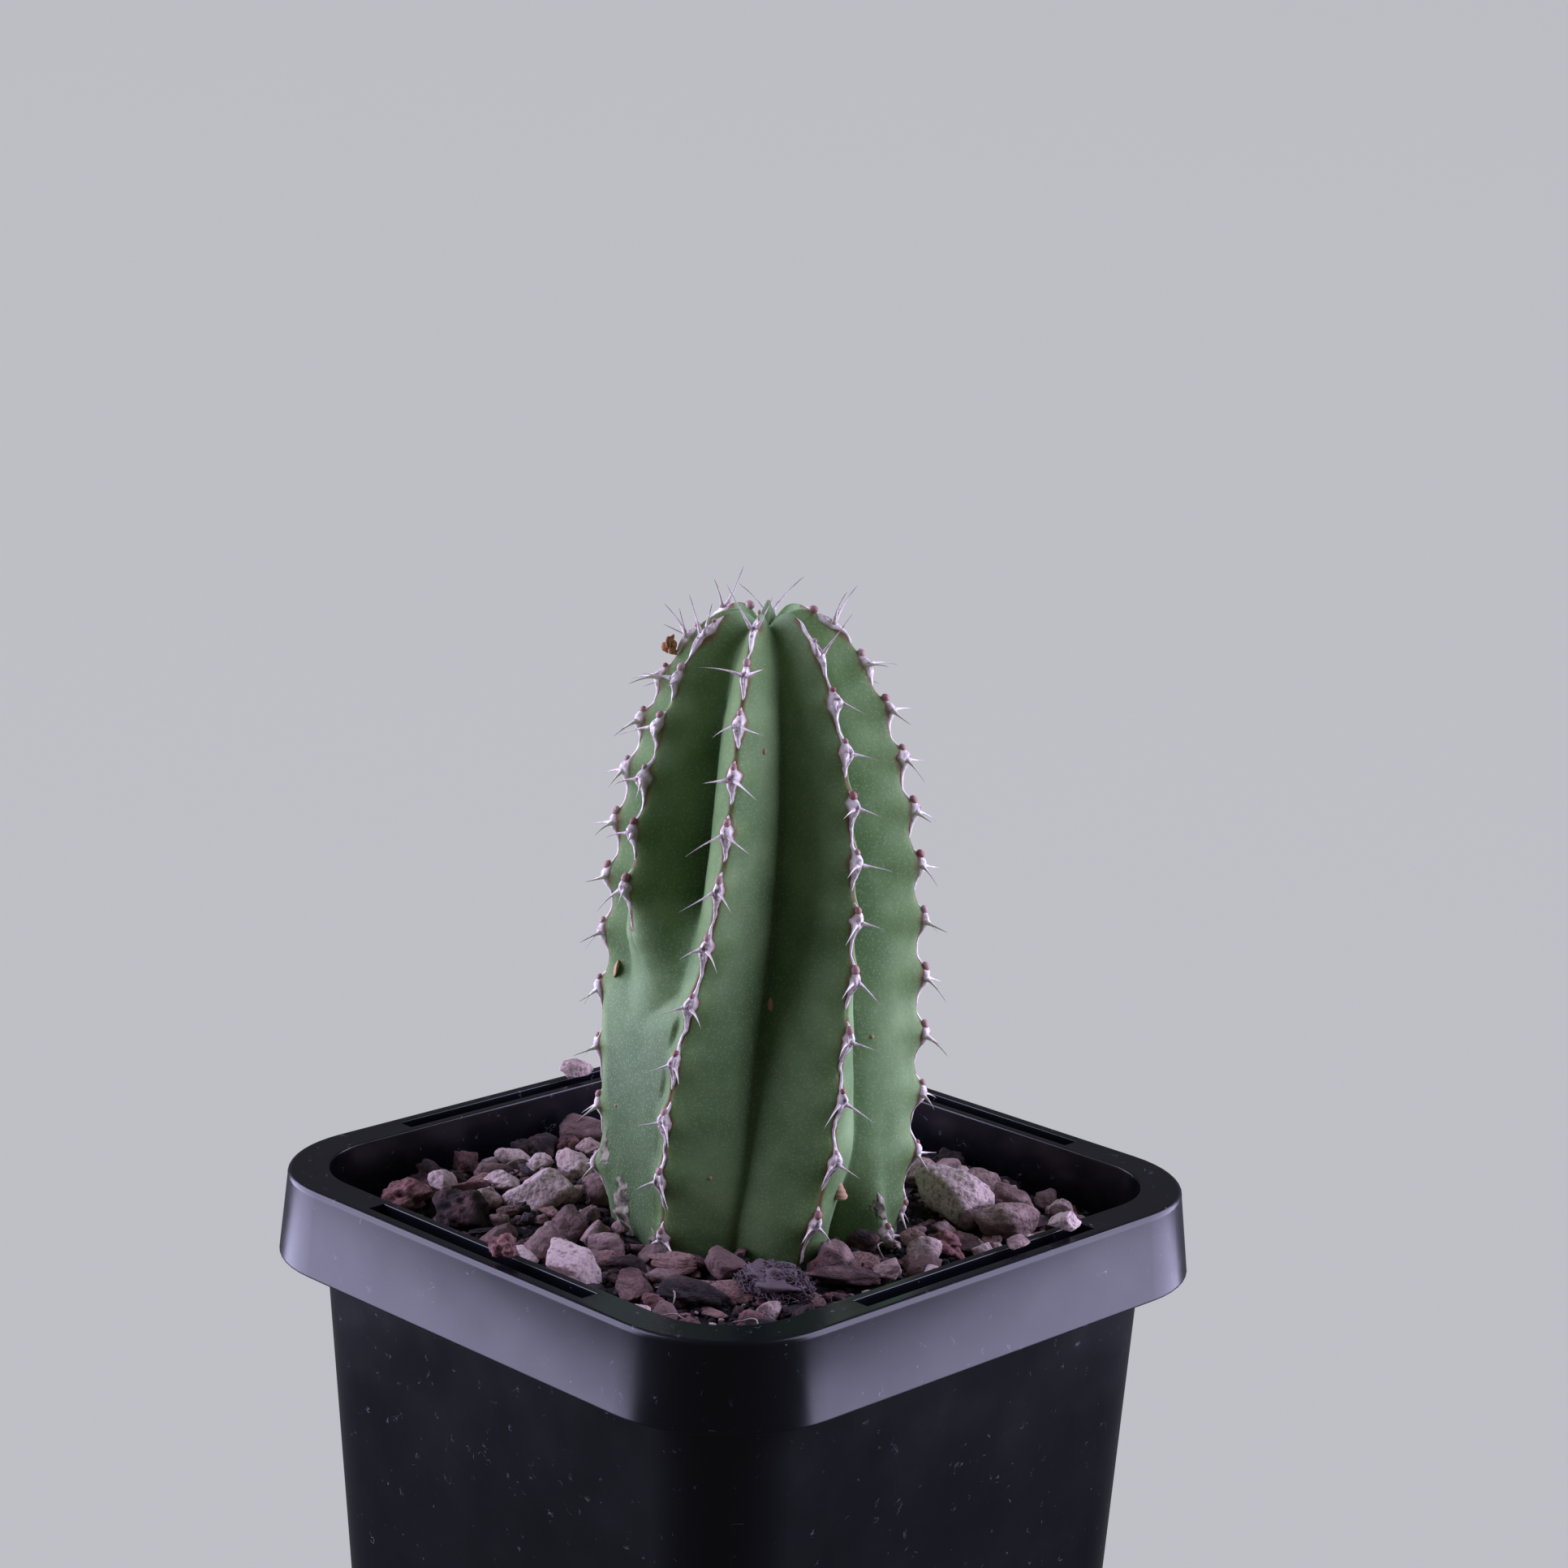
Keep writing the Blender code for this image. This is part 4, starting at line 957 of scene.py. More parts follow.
@dataclass
class Margin:
    """The horny strip on one rib: a line, and at each tooth a shield with a bud and two spines."""

    rib: Rib
    stem: Stem
    line: float = 0.17  # half width between shields
    shield: float = 0.68  # half width of a shield
    gap_chance: float = 0.3  # how often the strip is broken between two shields
    step: float = 0.16
    across: int = 9
    under: int = 4
    spine_length: float = 2.9
    spine_radius: float = 0.22
    spine_rings: int = 10
    spine_sides: int = 8
    top: float | None = None  # height where a short rib's strip ends
    short_foot: float = -0.6  # height where a short rib's strip begins
    foot: float = 0.6  # height where a long rib's strip begins
    birth: float = 5.0  # height over its rib's beginning where a late rib's strip begins
    apex: float = 0.55  # from the strip's end up to the stem's
    foot_room: float = 1.2  # least distance from the strip's foot up to a shield
    top_room: float = 0.2  # least distance from the strip's top down to a shield
    shield_up: float = 0.75  # a shield's reach over its middle
    shield_down: float = 1.3  # a shield's reach under its middle
    gap_place: float = 0.62  # where a break lies between two shields, as a share of the way
    gap_length: float = 0.13  # a break's half length, as a share of the way
    ridge: float = 0.15  # height of the strip's middle over the skin
    shield_ridge: float = 0.34  # how much higher a shield's is
    sunk: float = 0.45  # depth of the strip's underside in the skin
    most: int = 40  # more shields than any strip has

    def span(self) -> tuple[float, float]:
        """The lowest and highest height of the strip."""
        if self.top is not None:
            return self.short_foot, self.top
        low = self.foot if self.rib.start is None else self.rib.start + self.birth
        return low, self.stem.height - self.apex

    def covers(self, height: Array) -> Array:
        """Where the strip lies."""
        low, high = self.span()
        return (height > low) & (height < high)

    def numbers(self) -> Array:
        """The numbers of the shields on this strip."""
        low, high = self.span()
        numbers = np.arange(self.most)
        heights = self.stem.shield_height(self.rib, numbers)
        return numbers[(heights > low + self.foot_room) & (heights < high - self.top_room)]

    def below_shield(self, height: Array) -> Array:
        """How far below the nearest shield's middle a height lies, in millimetres; negative above it."""
        shields = self.stem.shield_height(self.rib, self.numbers())
        off = shields[:, None] - height.reshape(1, -1)
        nearest = np.abs(off).argmin(axis=0)
        return off[nearest, np.arange(off.shape[1])].reshape(height.shape)

    def shield_share(self, height: Array) -> Array:
        """1 in a shield's middle: a bell curve, short above and long below, so a teardrop."""
        below = self.below_shield(height)
        return np.exp(-((below / np.where(below < 0.0, self.shield_up, self.shield_down)) ** 2))

    def seed(self, extra: int = 0) -> int:
        """A seed of this strip's own."""
        return int(abs(self.rib.bearing) * 10) + extra

    def presence(self, height: Array) -> Array:
        """1 where the strip stands out, falling to 0 in the few breaks between two shields."""
        count = self.stem.count(self.rib, height)
        number = np.clip(np.floor(count).astype(int), 0, self.most - 1)
        random = np.random.default_rng(self.seed(3))
        gaps = random.uniform(size=self.most) < self.gap_chance
        broken = np.where(gaps, 1.0, random.uniform(0.0, 0.45, self.most))[number]
        place = count - np.floor(count)
        return 1.0 - broken * np.exp(-(((place - self.gap_place) / self.gap_length) ** 2))

    def half_width(self, height: Array) -> Array:
        """Half of the strip's width."""
        young = 0.7 + 0.3 * smoothstep(2.0, 12.0, self.stem.height - height)
        number = np.clip(np.round(self.stem.count(self.rib, height)).astype(int), 0, self.most - 1)
        own = np.random.default_rng(self.seed(5)).uniform(0.78, 1.1, self.most)[number]
        line = self.line * (0.4 + 0.6 * self.presence(height))
        return young * (line + (self.shield * own - line) * self.shield_share(height))

    def frames(self, height: Array) -> tuple[Array, Array, Array, Array]:
        """The crest's points with outward, sideways and upward unit vectors."""
        bearing = self.stem.crest_bearing(self.rib, height)
        here, _, _, _ = self.stem.frames(bearing, height)
        above = self.stem.point(self.stem.crest_bearing(self.rib, height + 0.4), height + 0.4)
        below = self.stem.point(self.stem.crest_bearing(self.rib, height - 0.4), height - 0.4)
        along = unit(above - below)
        across = np.cross([0.0, 0.0, 1.0], heading(bearing))
        side = unit(across - along * (across * along).sum(axis=-1, keepdims=True))
        return here, np.cross(side, along), side, along

    def strip(self) -> Shell:
        """The strip: at each height an outline on the skin, raised by half an ellipse and closed below it."""
        low, high = self.span()
        height = np.linspace(low, high, int((high - low) / self.step))[:, None]
        share = np.concatenate([np.linspace(-1.0, 1.0, self.across), np.linspace(0.8, -0.8, self.under)])
        top = np.arange(self.across + self.under) < self.across
        taper = np.minimum(smoothstep(0.0, 0.6, height - low), smoothstep(0.0, 0.5, high - height)) + 0.02
        half = self.half_width(height) * taper
        level = np.concatenate([height, 0 * height, 0 * height], axis=1)
        wobble = 0.12 * lumps(level, 2.6, self.seed(), 3)[:, None]
        flat = 0.0 * (height + share)
        sides = np.stack([height + flat, 40.0 * np.sign(share) + flat, flat], axis=-1)
        ragged = 1.0 + 0.16 * lumps(sides, 1.3, self.seed(1), 2)
        offset = half * share * ragged + wobble * (1.0 - 0.6 * self.shield_share(height)) * taper
        crest = self.stem.crest_bearing(self.rib, height)
        bearing = crest + np.degrees(offset / np.maximum(self.stem.reach(crest, height), 1.0))
        bulge = self.shield_share(height)
        presence = self.presence(height)
        lift = (self.ridge + self.shield_ridge * bulge) * np.sqrt(np.maximum(1.0 - share**2, 0.0)) + 0.03
        places = np.stack([0.35 * height + flat, 2.2 * half * share, flat], axis=-1)
        strands = 0.1 * (0.3 + bulge) * lumps(places, 0.8, self.seed(2), 2)
        middle = bulge * np.exp(-((share / 0.35) ** 2))
        hollow = 0.2 * middle * smoothstep(-0.9, 0.2, self.below_shield(height))
        lift = np.where(top, (lift + strands - hollow) * taper - 0.32 * (1.0 - presence), -self.sunk)
        levels = np.broadcast_to(height, bearing.shape)
        rings = self.stem.point(bearing, levels, lift)
        edge = np.where(top, smoothstep(0.86, 1.0, np.abs(share)) * 0.75, 0.75) + 0.0 * bearing
        heart = np.clip(1.3 * bulge - 0.25, 0.0, 1.0) * np.exp(-((share / 0.5) ** 2))
        marks = {"edge": edge, "tip": 0.0 * edge, "bud": 0.0 * edge, "heart": heart}
        return tubes(rings[None], {name: mark[None] for name, mark in marks.items()})

    def spines(self) -> Shell:
        """Two spines at each shield: tapered tubes that flare at the foot, lean apart and curve down."""
        numbers = self.numbers()
        random = np.random.default_rng(self.seed(7))
        heights = np.repeat(self.stem.shield_height(self.rib, numbers) - 0.25, 2)
        sign = np.tile([-1.0, 1.0], len(numbers))[:, None]
        here, out, side, along = self.frames(heights)
        young = smoothstep(9.0, 1.5, self.stem.height - heights)[:, None]
        spread = random.uniform(0.6, 1.05, (len(heights), 1))
        droop = random.uniform(-0.6, 0.1, (len(heights), 1))
        lean = unit(side * sign * spread * (1.0 - 0.45 * young) + out * 0.72 + along * (droop + 0.75 * young))
        length = random.uniform(0.75, 1.15, (len(heights), 1)) * self.spine_length * (1.0 + 0.6 * young)
        share = np.linspace(0.0, 1.0, self.spine_rings)[None, :, None]
        start = here + side * sign * 0.28 + out * 0.12
        curve = random.uniform(-0.35, 0.05, (len(heights), 1))[:, None] * share**2 * length[:, None]
        sweep = random.uniform(-0.2, 0.2, (len(heights), 1))[:, None] * share**2 * length[:, None]
        bent = along[:, None] * curve + side[:, None] * sweep
        paths = start[:, None] + lean[:, None] * share * length[:, None] + bent
        rest = 1.0 - share[..., 0]
        radii = self.spine_radius * (0.5 * rest**0.85 + 0.8 * rest**5) + 0.01
        radii = radii * random.uniform(0.8, 1.15, (len(heights), 1))
        tip = smoothstep(0.5, 1.0, share[..., 0]) * (0.5 + 0.45 * young) + 0.3 * young
        marks = {"edge": 0.0 * tip, "tip": np.clip(tip, 0.0, 1.0), "bud": 0.0 * tip, "heart": 0.0 * tip}
        return curved_tubes(paths, radii, self.spine_sides, marks)

    def buds(self) -> Shell:
        """A small red bud at each shield's upper end: an egg half sunk in the horn."""
        numbers = self.numbers()
        random = np.random.default_rng(self.seed(11))
        here, out, side, along = self.frames(self.stem.shield_height(self.rib, numbers) + 0.8)
        ball = globe(6, 10)
        size = random.uniform(0.2, 0.42, len(numbers))[:, None, None, None]
        grow = (side[:, None, None] * ball[..., :1] + out[:, None, None] * ball[..., 1:2]
                + 1.25 * along[:, None, None] * ball[..., 2:])
        rings = here[:, None, None] + out[:, None, None] * 0.22 + grow * size
        red = np.broadcast_to(random.uniform(0.6, 1.0, len(numbers))[:, None, None], rings.shape[:3])
        marks = {"edge": 0.0 * red, "tip": 0.0 * red, "bud": red, "heart": 0.0 * red}
        return tubes(rings, marks)

    def build(self, name: str, nodes: tuple[str, ...] = ()) -> None:
        """Makes the strip with its spines and buds as one piece."""
        piece(name, joined([self.strip(), self.spines(), self.buds()]), HORN, nodes)


# ---------------------------------------------------------------- top dressing


class Rock(Enum):
    """What a loose stone or chip is; its value is the CAD nodes' name and the record's slot."""

    PUMICE = ("pumice", "pumice")
    LAVA = ("lava", "red_lava")
    BARK = ("bark", "bark")
    CLUMP = ("root_clump", "root_fibre")


@dataclass(frozen=True)
class RockForm:
    """How a kind of stone is shaped."""

    finish: Finish
    facets: int
    sharpness: float  # power of the mean over its facets; higher makes keener edges
    lump: float  # size of its lumps, as a share of its own size
    depth: float  # of its lumps
    pits: int
    pit_angle: float  # degrees across
    pit_depth: float  # as a share of its half size

    def radii(self, directions: Array, seed: int) -> Array:
        """A rounded polyhedron with lumps and pits.

        The distance along a direction is a power mean over random planes of the cosine to each plane's
        normal over the plane's distance. Lumps and round pits are then added.

        Args:
            directions: Unit directions, along the last axis.
            seed: Picks the planes, lumps and pits.

        Returns:
            Distances from the middle, roughly 1.
        """
        random = np.random.default_rng(seed)
        normals = unit(random.normal(size=(self.facets, 3)))
        normals = np.concatenate([normals, -normals[: self.facets // 2]])
        offsets = random.uniform(0.7, 1.0, len(normals))
        cosines = np.maximum(directions @ normals.T, 0.0) / offsets
        radius = np.minimum((cosines**self.sharpness).sum(axis=-1) ** (-1.0 / self.sharpness), 1.6)
        radius = radius + self.depth * lumps(directions * radius[..., None], self.lump * 2.0, seed, 3)
        middles = unit(random.normal(size=(self.pits, 3)))
        turn = np.degrees(np.arccos(np.clip(directions @ middles.T, -1.0, 1.0)))
        widths = self.pit_angle * random.uniform(0.5, 1.2, self.pits)
        return radius - self.pit_depth * (np.maximum(1.0 - (turn / widths) ** 2, 0.0) ** 1.5).sum(axis=-1)


FORMS = {
    Rock.PUMICE: RockForm(PUMICE, 12, 30.0, 0.7, 0.07, 26, 13.0, 0.045),
    Rock.LAVA: RockForm(SCORIA, 12, 18.0, 0.5, 0.14, 60, 17.0, 0.12),
    Rock.BARK: RockForm(PINE_BARK, 7, 22.0, 0.45, 0.1, 10, 16.0, 0.06),
    Rock.CLUMP: RockForm(ROOT_FIBRE, 14, 8.0, 0.35, 0.14, 40, 16.0, 0.1),
}


@dataclass(frozen=True)
class Batch:
    """Pebbles of one kind: how many, their sizes, where they are common and how they lie."""

    name: str
    rock: Rock
    count: int
    smallest: float
    largest: float
    bearing: float
    spread: float
    elsewhere: float  # how common they are away from that bearing
    slimness: tuple[float, float] = (0.7, 1.0)  # width as a share of length
    flatness: tuple[float, float] = (0.6, 0.85)  # height as a share of length
    pile: float = 0.5  # how far a pebble may lie up on others
    tilt: float = 25.0  # degrees
    spacing: float = 0.82  # least distance between two middles, as a share of their half sizes' sum


BATCHES = (
    Batch("pumice_pebbles", Rock.PUMICE, 85, 1.9, 4.2, 160.0, 150.0, 0.12),
    Batch("scoria_pebbles", Rock.LAVA, 42, 1.6, 3.6, -150.0, 90.0, 0.35),
    Batch("bark_chips", Rock.BARK, 60, 2.0, 5.0, -45.0, 45.0, 0.2, slimness=(0.4, 0.75),
          flatness=(0.16, 0.34), pile=0.9, tilt=40.0, spacing=0.62),
)
PALE_GRAINS = {"ledge_pumice_1": 0.75, "ledge_pumice_2": 1.0, "ledge_pumice_3": 0.45}  # their own tones


@dataclass
class LooseStones:
    """The stones that the CAD holds one by one, each in its own place and of its own size."""

    mix: "PottingMix"
    rows: int = 34
    around: int = 52
    growth: float = 1.24  # the stones' sizes against the CAD's, so that they lie close together
    lift: float = 0.35  # and how much higher they lie
    tries: int = 60  # places tried for each pebble
    perch: float = 0.3  # height of a pebble's middle over the crust, as a share of its height
    taken: list[tuple[float, float, float]] = field(default_factory=list)

    def measure(self, node: str) -> tuple[Array, Array, float]:
        """A CAD stone's middle, its sizes along its length, width and height, and its length's bearing."""
        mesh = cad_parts[node].data
        points = np.empty(len(mesh.vertices) * 3, np.float32)
        mesh.vertices.foreach_get("co", points)
        points = points.reshape(-1, 3).astype(float) / MM
        middle = (points.min(axis=0) + points.max(axis=0)) / 2
        level = points[:, :2] - middle[:2]
        _, axes = np.linalg.eigh(level.T @ level)
        yaw = math.degrees(math.atan2(axes[1, 1], axes[0, 1]))
        turned = level @ axes[:, ::-1]
        sizes = np.array([*np.ptp(turned, axis=0), np.ptp(points[:, 2])])
        return middle, sizes, yaw

    def stone(self, form: RockForm, middle: Array, sizes: Array, yaw: float, seed: int,
              tone: float | None = None, tilt: float | None = None) -> Shell:
        """One stone, stretched to its sizes, tilted and turned to its bearing; pebbles are given a tilt."""
        share = 1 if tilt is None else 2
        directions = globe(self.rows // share, self.around // share)
        points = directions * form.radii(directions, seed)[..., None]
        low, high = points.min(axis=(0, 1)), points.max(axis=(0, 1))
        points = ((points - low) / (high - low) - 0.5) * sizes
        turn = math.radians(yaw)
        cos, sin = math.cos(turn), math.sin(turn)
        rotation = np.array([[cos, sin, 0.0], [-sin, cos, 0.0], [0.0, 0.0, 1.0]])
        if tilt:
            c, s = math.cos(math.radians(tilt)), math.sin(math.radians(tilt))
            points = points @ np.array([[1.0, 0.0, 0.0], [0.0, c, s], [0.0, -s, c]])
        points = points @ rotation + middle
        if tone is None:
            tone = float(np.random.default_rng(seed + 500).uniform())
        return tubes(points[None], {"tone": np.full((1, *points.shape[:2]), tone)})

    def build(self) -> None:
        """Makes every stone of the CAD model again, in detail, and packs pebbles between those in the pot."""
        for seed, node in enumerate(sorted(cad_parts)):
            for rock, form in FORMS.items():
                kind, slot = rock.value
                if not (node.startswith(kind) or node.startswith("ledge_" + kind)):
                    continue
                middle, sizes, yaw = self.measure(node)
                if not node.startswith("ledge"):
                    self.taken.append((middle[0], middle[1], (sizes[0] + sizes[1]) / 4))
                    sizes = sizes * self.growth
                    middle = middle + [0.0, 0.0, self.lift]
                shell = self.stone(form, middle, sizes, yaw, seed, PALE_GRAINS.get(node))
                piece(f"{node}_grain", shell, form.finish, (node,))
        for seed, batch in enumerate(BATCHES, 900):
            self.pack(batch, seed)

    def pack(self, batch: "Batch", seed: int) -> None:
        """Lays a batch of pebbles where there is room, largest first.

        Args:
            batch: The batch.
            seed: Picks the places, sizes and shapes.
        """
        random = np.random.default_rng(seed)
        form = FORMS[batch.rock]
        half = self.mix.pot.body_half(self.mix.level)
        widths = np.sort(random.uniform(batch.smallest, batch.largest, batch.count))[::-1]
        shells = []
        for number, width in enumerate(widths):
            places = random.uniform(-half, half, (self.tries, 2))
            chance = random.uniform(size=self.tries)
            room = self.mix.clear(places, width / 2)
            for x, y, radius in self.taken:
                room &= np.hypot(places[:, 0] - x, places[:, 1] - y) > batch.spacing * (radius + width / 2)
            bearing = np.degrees(np.arctan2(places[:, 1], places[:, 0]))
            near = np.exp(-((wrapped(bearing - batch.bearing) / batch.spread) ** 2))
            room &= chance < batch.elsewhere + (1.0 - batch.elsewhere) * near
            if not room.any():
                continue
            x, y = places[int(np.argmax(room))]
            self.taken.append((x, y, width / 2))
            sizes = width * np.array([1.0, random.uniform(*batch.slimness), random.uniform(*batch.flatness)])
            z = float(self.mix.surface(x, y)) + sizes[2] * self.perch + random.uniform(0.0, batch.pile)
            shells.append(self.stone(form, np.array([x, y, z]), sizes, random.uniform(0.0, 360.0),
                                     seed * 1000 + number, None, random.uniform(-batch.tilt, batch.tilt)))
        piece(batch.name, joined(shells), form.finish)


@dataclass
class PottingMix:
    """The soil, its crumbly surface and the small grains that lie on it."""

    pot: NurseryPot
    stem: Stem
    level: float = 75.0
    dip: float = 2.0
    crust: float = 0.25  # how far the crumbly crust stands over the CAD surface
    roughness: float = 0.4
    gap: float = 0.3  # between the mix and the pot
    front: float = -45.0  # bearing of the corner where the mix stands as high as in the middle
    front_span: tuple[float, float] = (25.0, 70.0)  # degrees from there between which it falls
    corner_span: tuple[float, float] = (0.9, 1.3)  # where corners dip, as shares of the half width
    skirt: float = 4.0  # depth of the body's ring below the crust's edge
    rings: int = 90
    around: int = 280

    def wall(self, bearing: Array, inset: float) -> Array:
        """The distance from the pot's middle to its inner wall, read off the wall ring's points."""
        ring = self.pot.body_ring(self.pot.wall + inset, self.level)
        dense = []
        for start, end in zip(ring, np.roll(ring, -1, axis=0)):
            dense.append(start + (end - start) * np.linspace(0.0, 1.0, 12, endpoint=False)[:, None])
        ring = np.concatenate(dense)
        angles = np.degrees(np.arctan2(ring[:, 1], ring[:, 0]))
        order = np.argsort(angles)
        distances = np.hypot(ring[:, 0], ring[:, 1])
        return np.interp(wrapped(bearing), angles[order], distances[order], period=360.0)

    def surface(self, x: Array, y: Array) -> Array:
        """The crust's height: level round the stem, lower in every corner but the front one, and lumpy."""
        share = np.hypot(x, y) / (self.pot.body_half(self.level) - self.pot.wall)
        bearing = np.degrees(np.arctan2(y, x))
        front = 1.0 - smoothstep(*self.front_span, np.abs(wrapped(bearing - self.front)))
        corner = smoothstep(*self.corner_span, share)
        low = self.dip * corner * (1.0 - front)
        places = np.stack([x, y, np.zeros_like(x)], axis=-1)
        lump = self.roughness * lumps(places, 9.0, 21, 5)
        return self.level - low + self.crust * (1.0 - 0.5 * corner) + lump

    def build_body(self) -> None:
        """Makes the soil's body: up the pot's wall, then inwards over the crust to the middle."""
        bearing = np.linspace(0.0, 360.0, self.around, endpoint=False)
        share = np.linspace(1.0, 0.02, self.rings)[:, None]
        reach = self.wall(bearing, self.gap)[None, :] * share
        x, y = reach * np.cos(np.radians(bearing)), reach * np.sin(np.radians(bearing))
        top = np.stack([x, y, self.surface(x, y)], axis=-1)
        foot_ring = self.pot.body_half(self.pot.floor) / self.pot.body_half(self.level)
        foot = top[0] * [foot_ring, foot_ring, 0.0] + [0.0, 0.0, self.pot.floor + self.gap]
        below = top[0] * [1.0, 1.0, 0.0] + [0.0, 0.0, self.level - self.skirt]
        rings = np.concatenate([foot[None], below[None], top])
        tone = 0.35 + 0.25 * lumps(rings, 6.0, 23, 2)
        piece("peat_mix", tubes(rings[None], {"tone": tone[None]}), PEAT, ("potting_mix",))

    def clear(self, places: Array, margin: float) -> Array:
        """Which places are clear of the pot's wall and of the stem's foot.

        Args:
            places: Places, shaped (count, 2).
            margin: The clearance wanted, in millimetres.

        Returns:
            True where it's clear.
        """
        bearing = np.degrees(np.arctan2(places[:, 1], places[:, 0]))
        inside = np.hypot(places[:, 0], places[:, 1]) < self.wall(bearing, self.gap + margin)
        from_stem = places - [self.stem.x, self.stem.y]
        turn = np.degrees(np.arctan2(from_stem[:, 1], from_stem[:, 0]))
        foot = self.stem.reach(turn, np.full(len(turn), 1.5)) + 0.2 + 0.7 * margin
        return inside & (np.hypot(from_stem[:, 0], from_stem[:, 1]) > foot)

    def spots(self, count: int, random: np.random.Generator, margin: float) -> Array:
        """Random clear places on the mix.

        Args:
            count: How many.
            random: The generator to draw from.
            margin: Clearance, in millimetres.

        Returns:
            Places, shaped (count, 2).
        """
        half = self.pot.body_half(self.level)
        places = random.uniform(-half, half, (count * 3, 2))
        return places[self.clear(places, margin)][:count]

    def grains(self, bed: "Bed", seed: int) -> Shell:
        """Small stones or crumbs: coarse globes with jittered corners, stretched, turned and strewn."""
        random = np.random.default_rng(seed)
        places = self.spots(bed.count, random, bed.largest / 2)
        count = len(places)
        ball = globe(bed.rows, bed.around)
        jitter = random.uniform(0.72, 1.12, (count, *ball.shape[:2], 1))
        share = random.uniform(0.0, 1.0, (count, 1)) ** bed.bias
        size = bed.smallest + (bed.largest - bed.smallest) * share
        shape = np.concatenate([size, size * random.uniform(*bed.slimness, (count, 1)),
                                size * random.uniform(*bed.flatness, (count, 1))], axis=1)
        points = ball * jitter * shape[:, None, None, :] / 2
        tilt, yaw = random.uniform(-0.5, 0.5, count), random.uniform(0.0, math.tau, count)
        c, s = np.cos(tilt)[:, None, None], np.sin(tilt)[:, None, None]
        points = np.stack([points[..., 0], points[..., 1] * c - points[..., 2] * s,
                           points[..., 1] * s + points[..., 2] * c], axis=-1)
        c, s = np.cos(yaw)[:, None, None], np.sin(yaw)[:, None, None]
        points = np.stack([points[..., 0] * c - points[..., 1] * s, points[..., 0] * s + points[..., 1] * c,
                           points[..., 2]], axis=-1)
        crust = self.surface(places[:, 0], places[:, 1])
        height = crust + shape[:, 2] * bed.sink + random.uniform(0.0, bed.pile, count)
        middles = np.concatenate([places, height[:, None]], axis=1)
        tone = np.broadcast_to(random.uniform(0.0, 1.0, (count, 1, 1)), points.shape[:3])
        return tubes(points + middles[:, None, None], {"tone": tone})

    def build_grains(self) -> None:
        """Strews each bed of small grains."""
        for seed, bed in enumerate(BEDS, 300):
            piece(bed.name, self.grains(bed, seed), bed.finish, sharp=35.0)


@dataclass(frozen=True)
class Bed:
    """One kind of small grain: how many, how large, how slim and flat, and how it lies."""

    name: str
    finish: Finish
    slot: str
    count: int
    smallest: float
    largest: float
    bias: float = 1.8  # above 1 makes small grains commoner
    slimness: tuple[float, float] = (0.65, 1.0)
    flatness: tuple[float, float] = (0.5, 0.85)
    sink: float = 0.15  # height of a grain's middle over the crust, as a share of its height
    pile: float = 0.35  # how far a grain may lie up on others
    rows: int = 3
    around: int = 6


BEDS = (
    Bed("peat_crumbs", PEAT, "potting_soil", 2600, 0.3, 1.2),
    Bed("pumice_grit", PUMICE, "pumice", 260, 0.5, 1.7, rows=4, around=7),
    Bed("scoria_grit", SCORIA, "red_lava", 420, 0.5, 1.8, rows=4, around=7),
    Bed("dark_grit", BASALT, "red_lava", 420, 0.5, 1.8, rows=4, around=7),
    Bed("bark_crumbs", PINE_BARK, "bark", 420, 0.8, 2.6, slimness=(0.3, 0.6), flatness=(0.15, 0.35),
        pile=0.8),
)


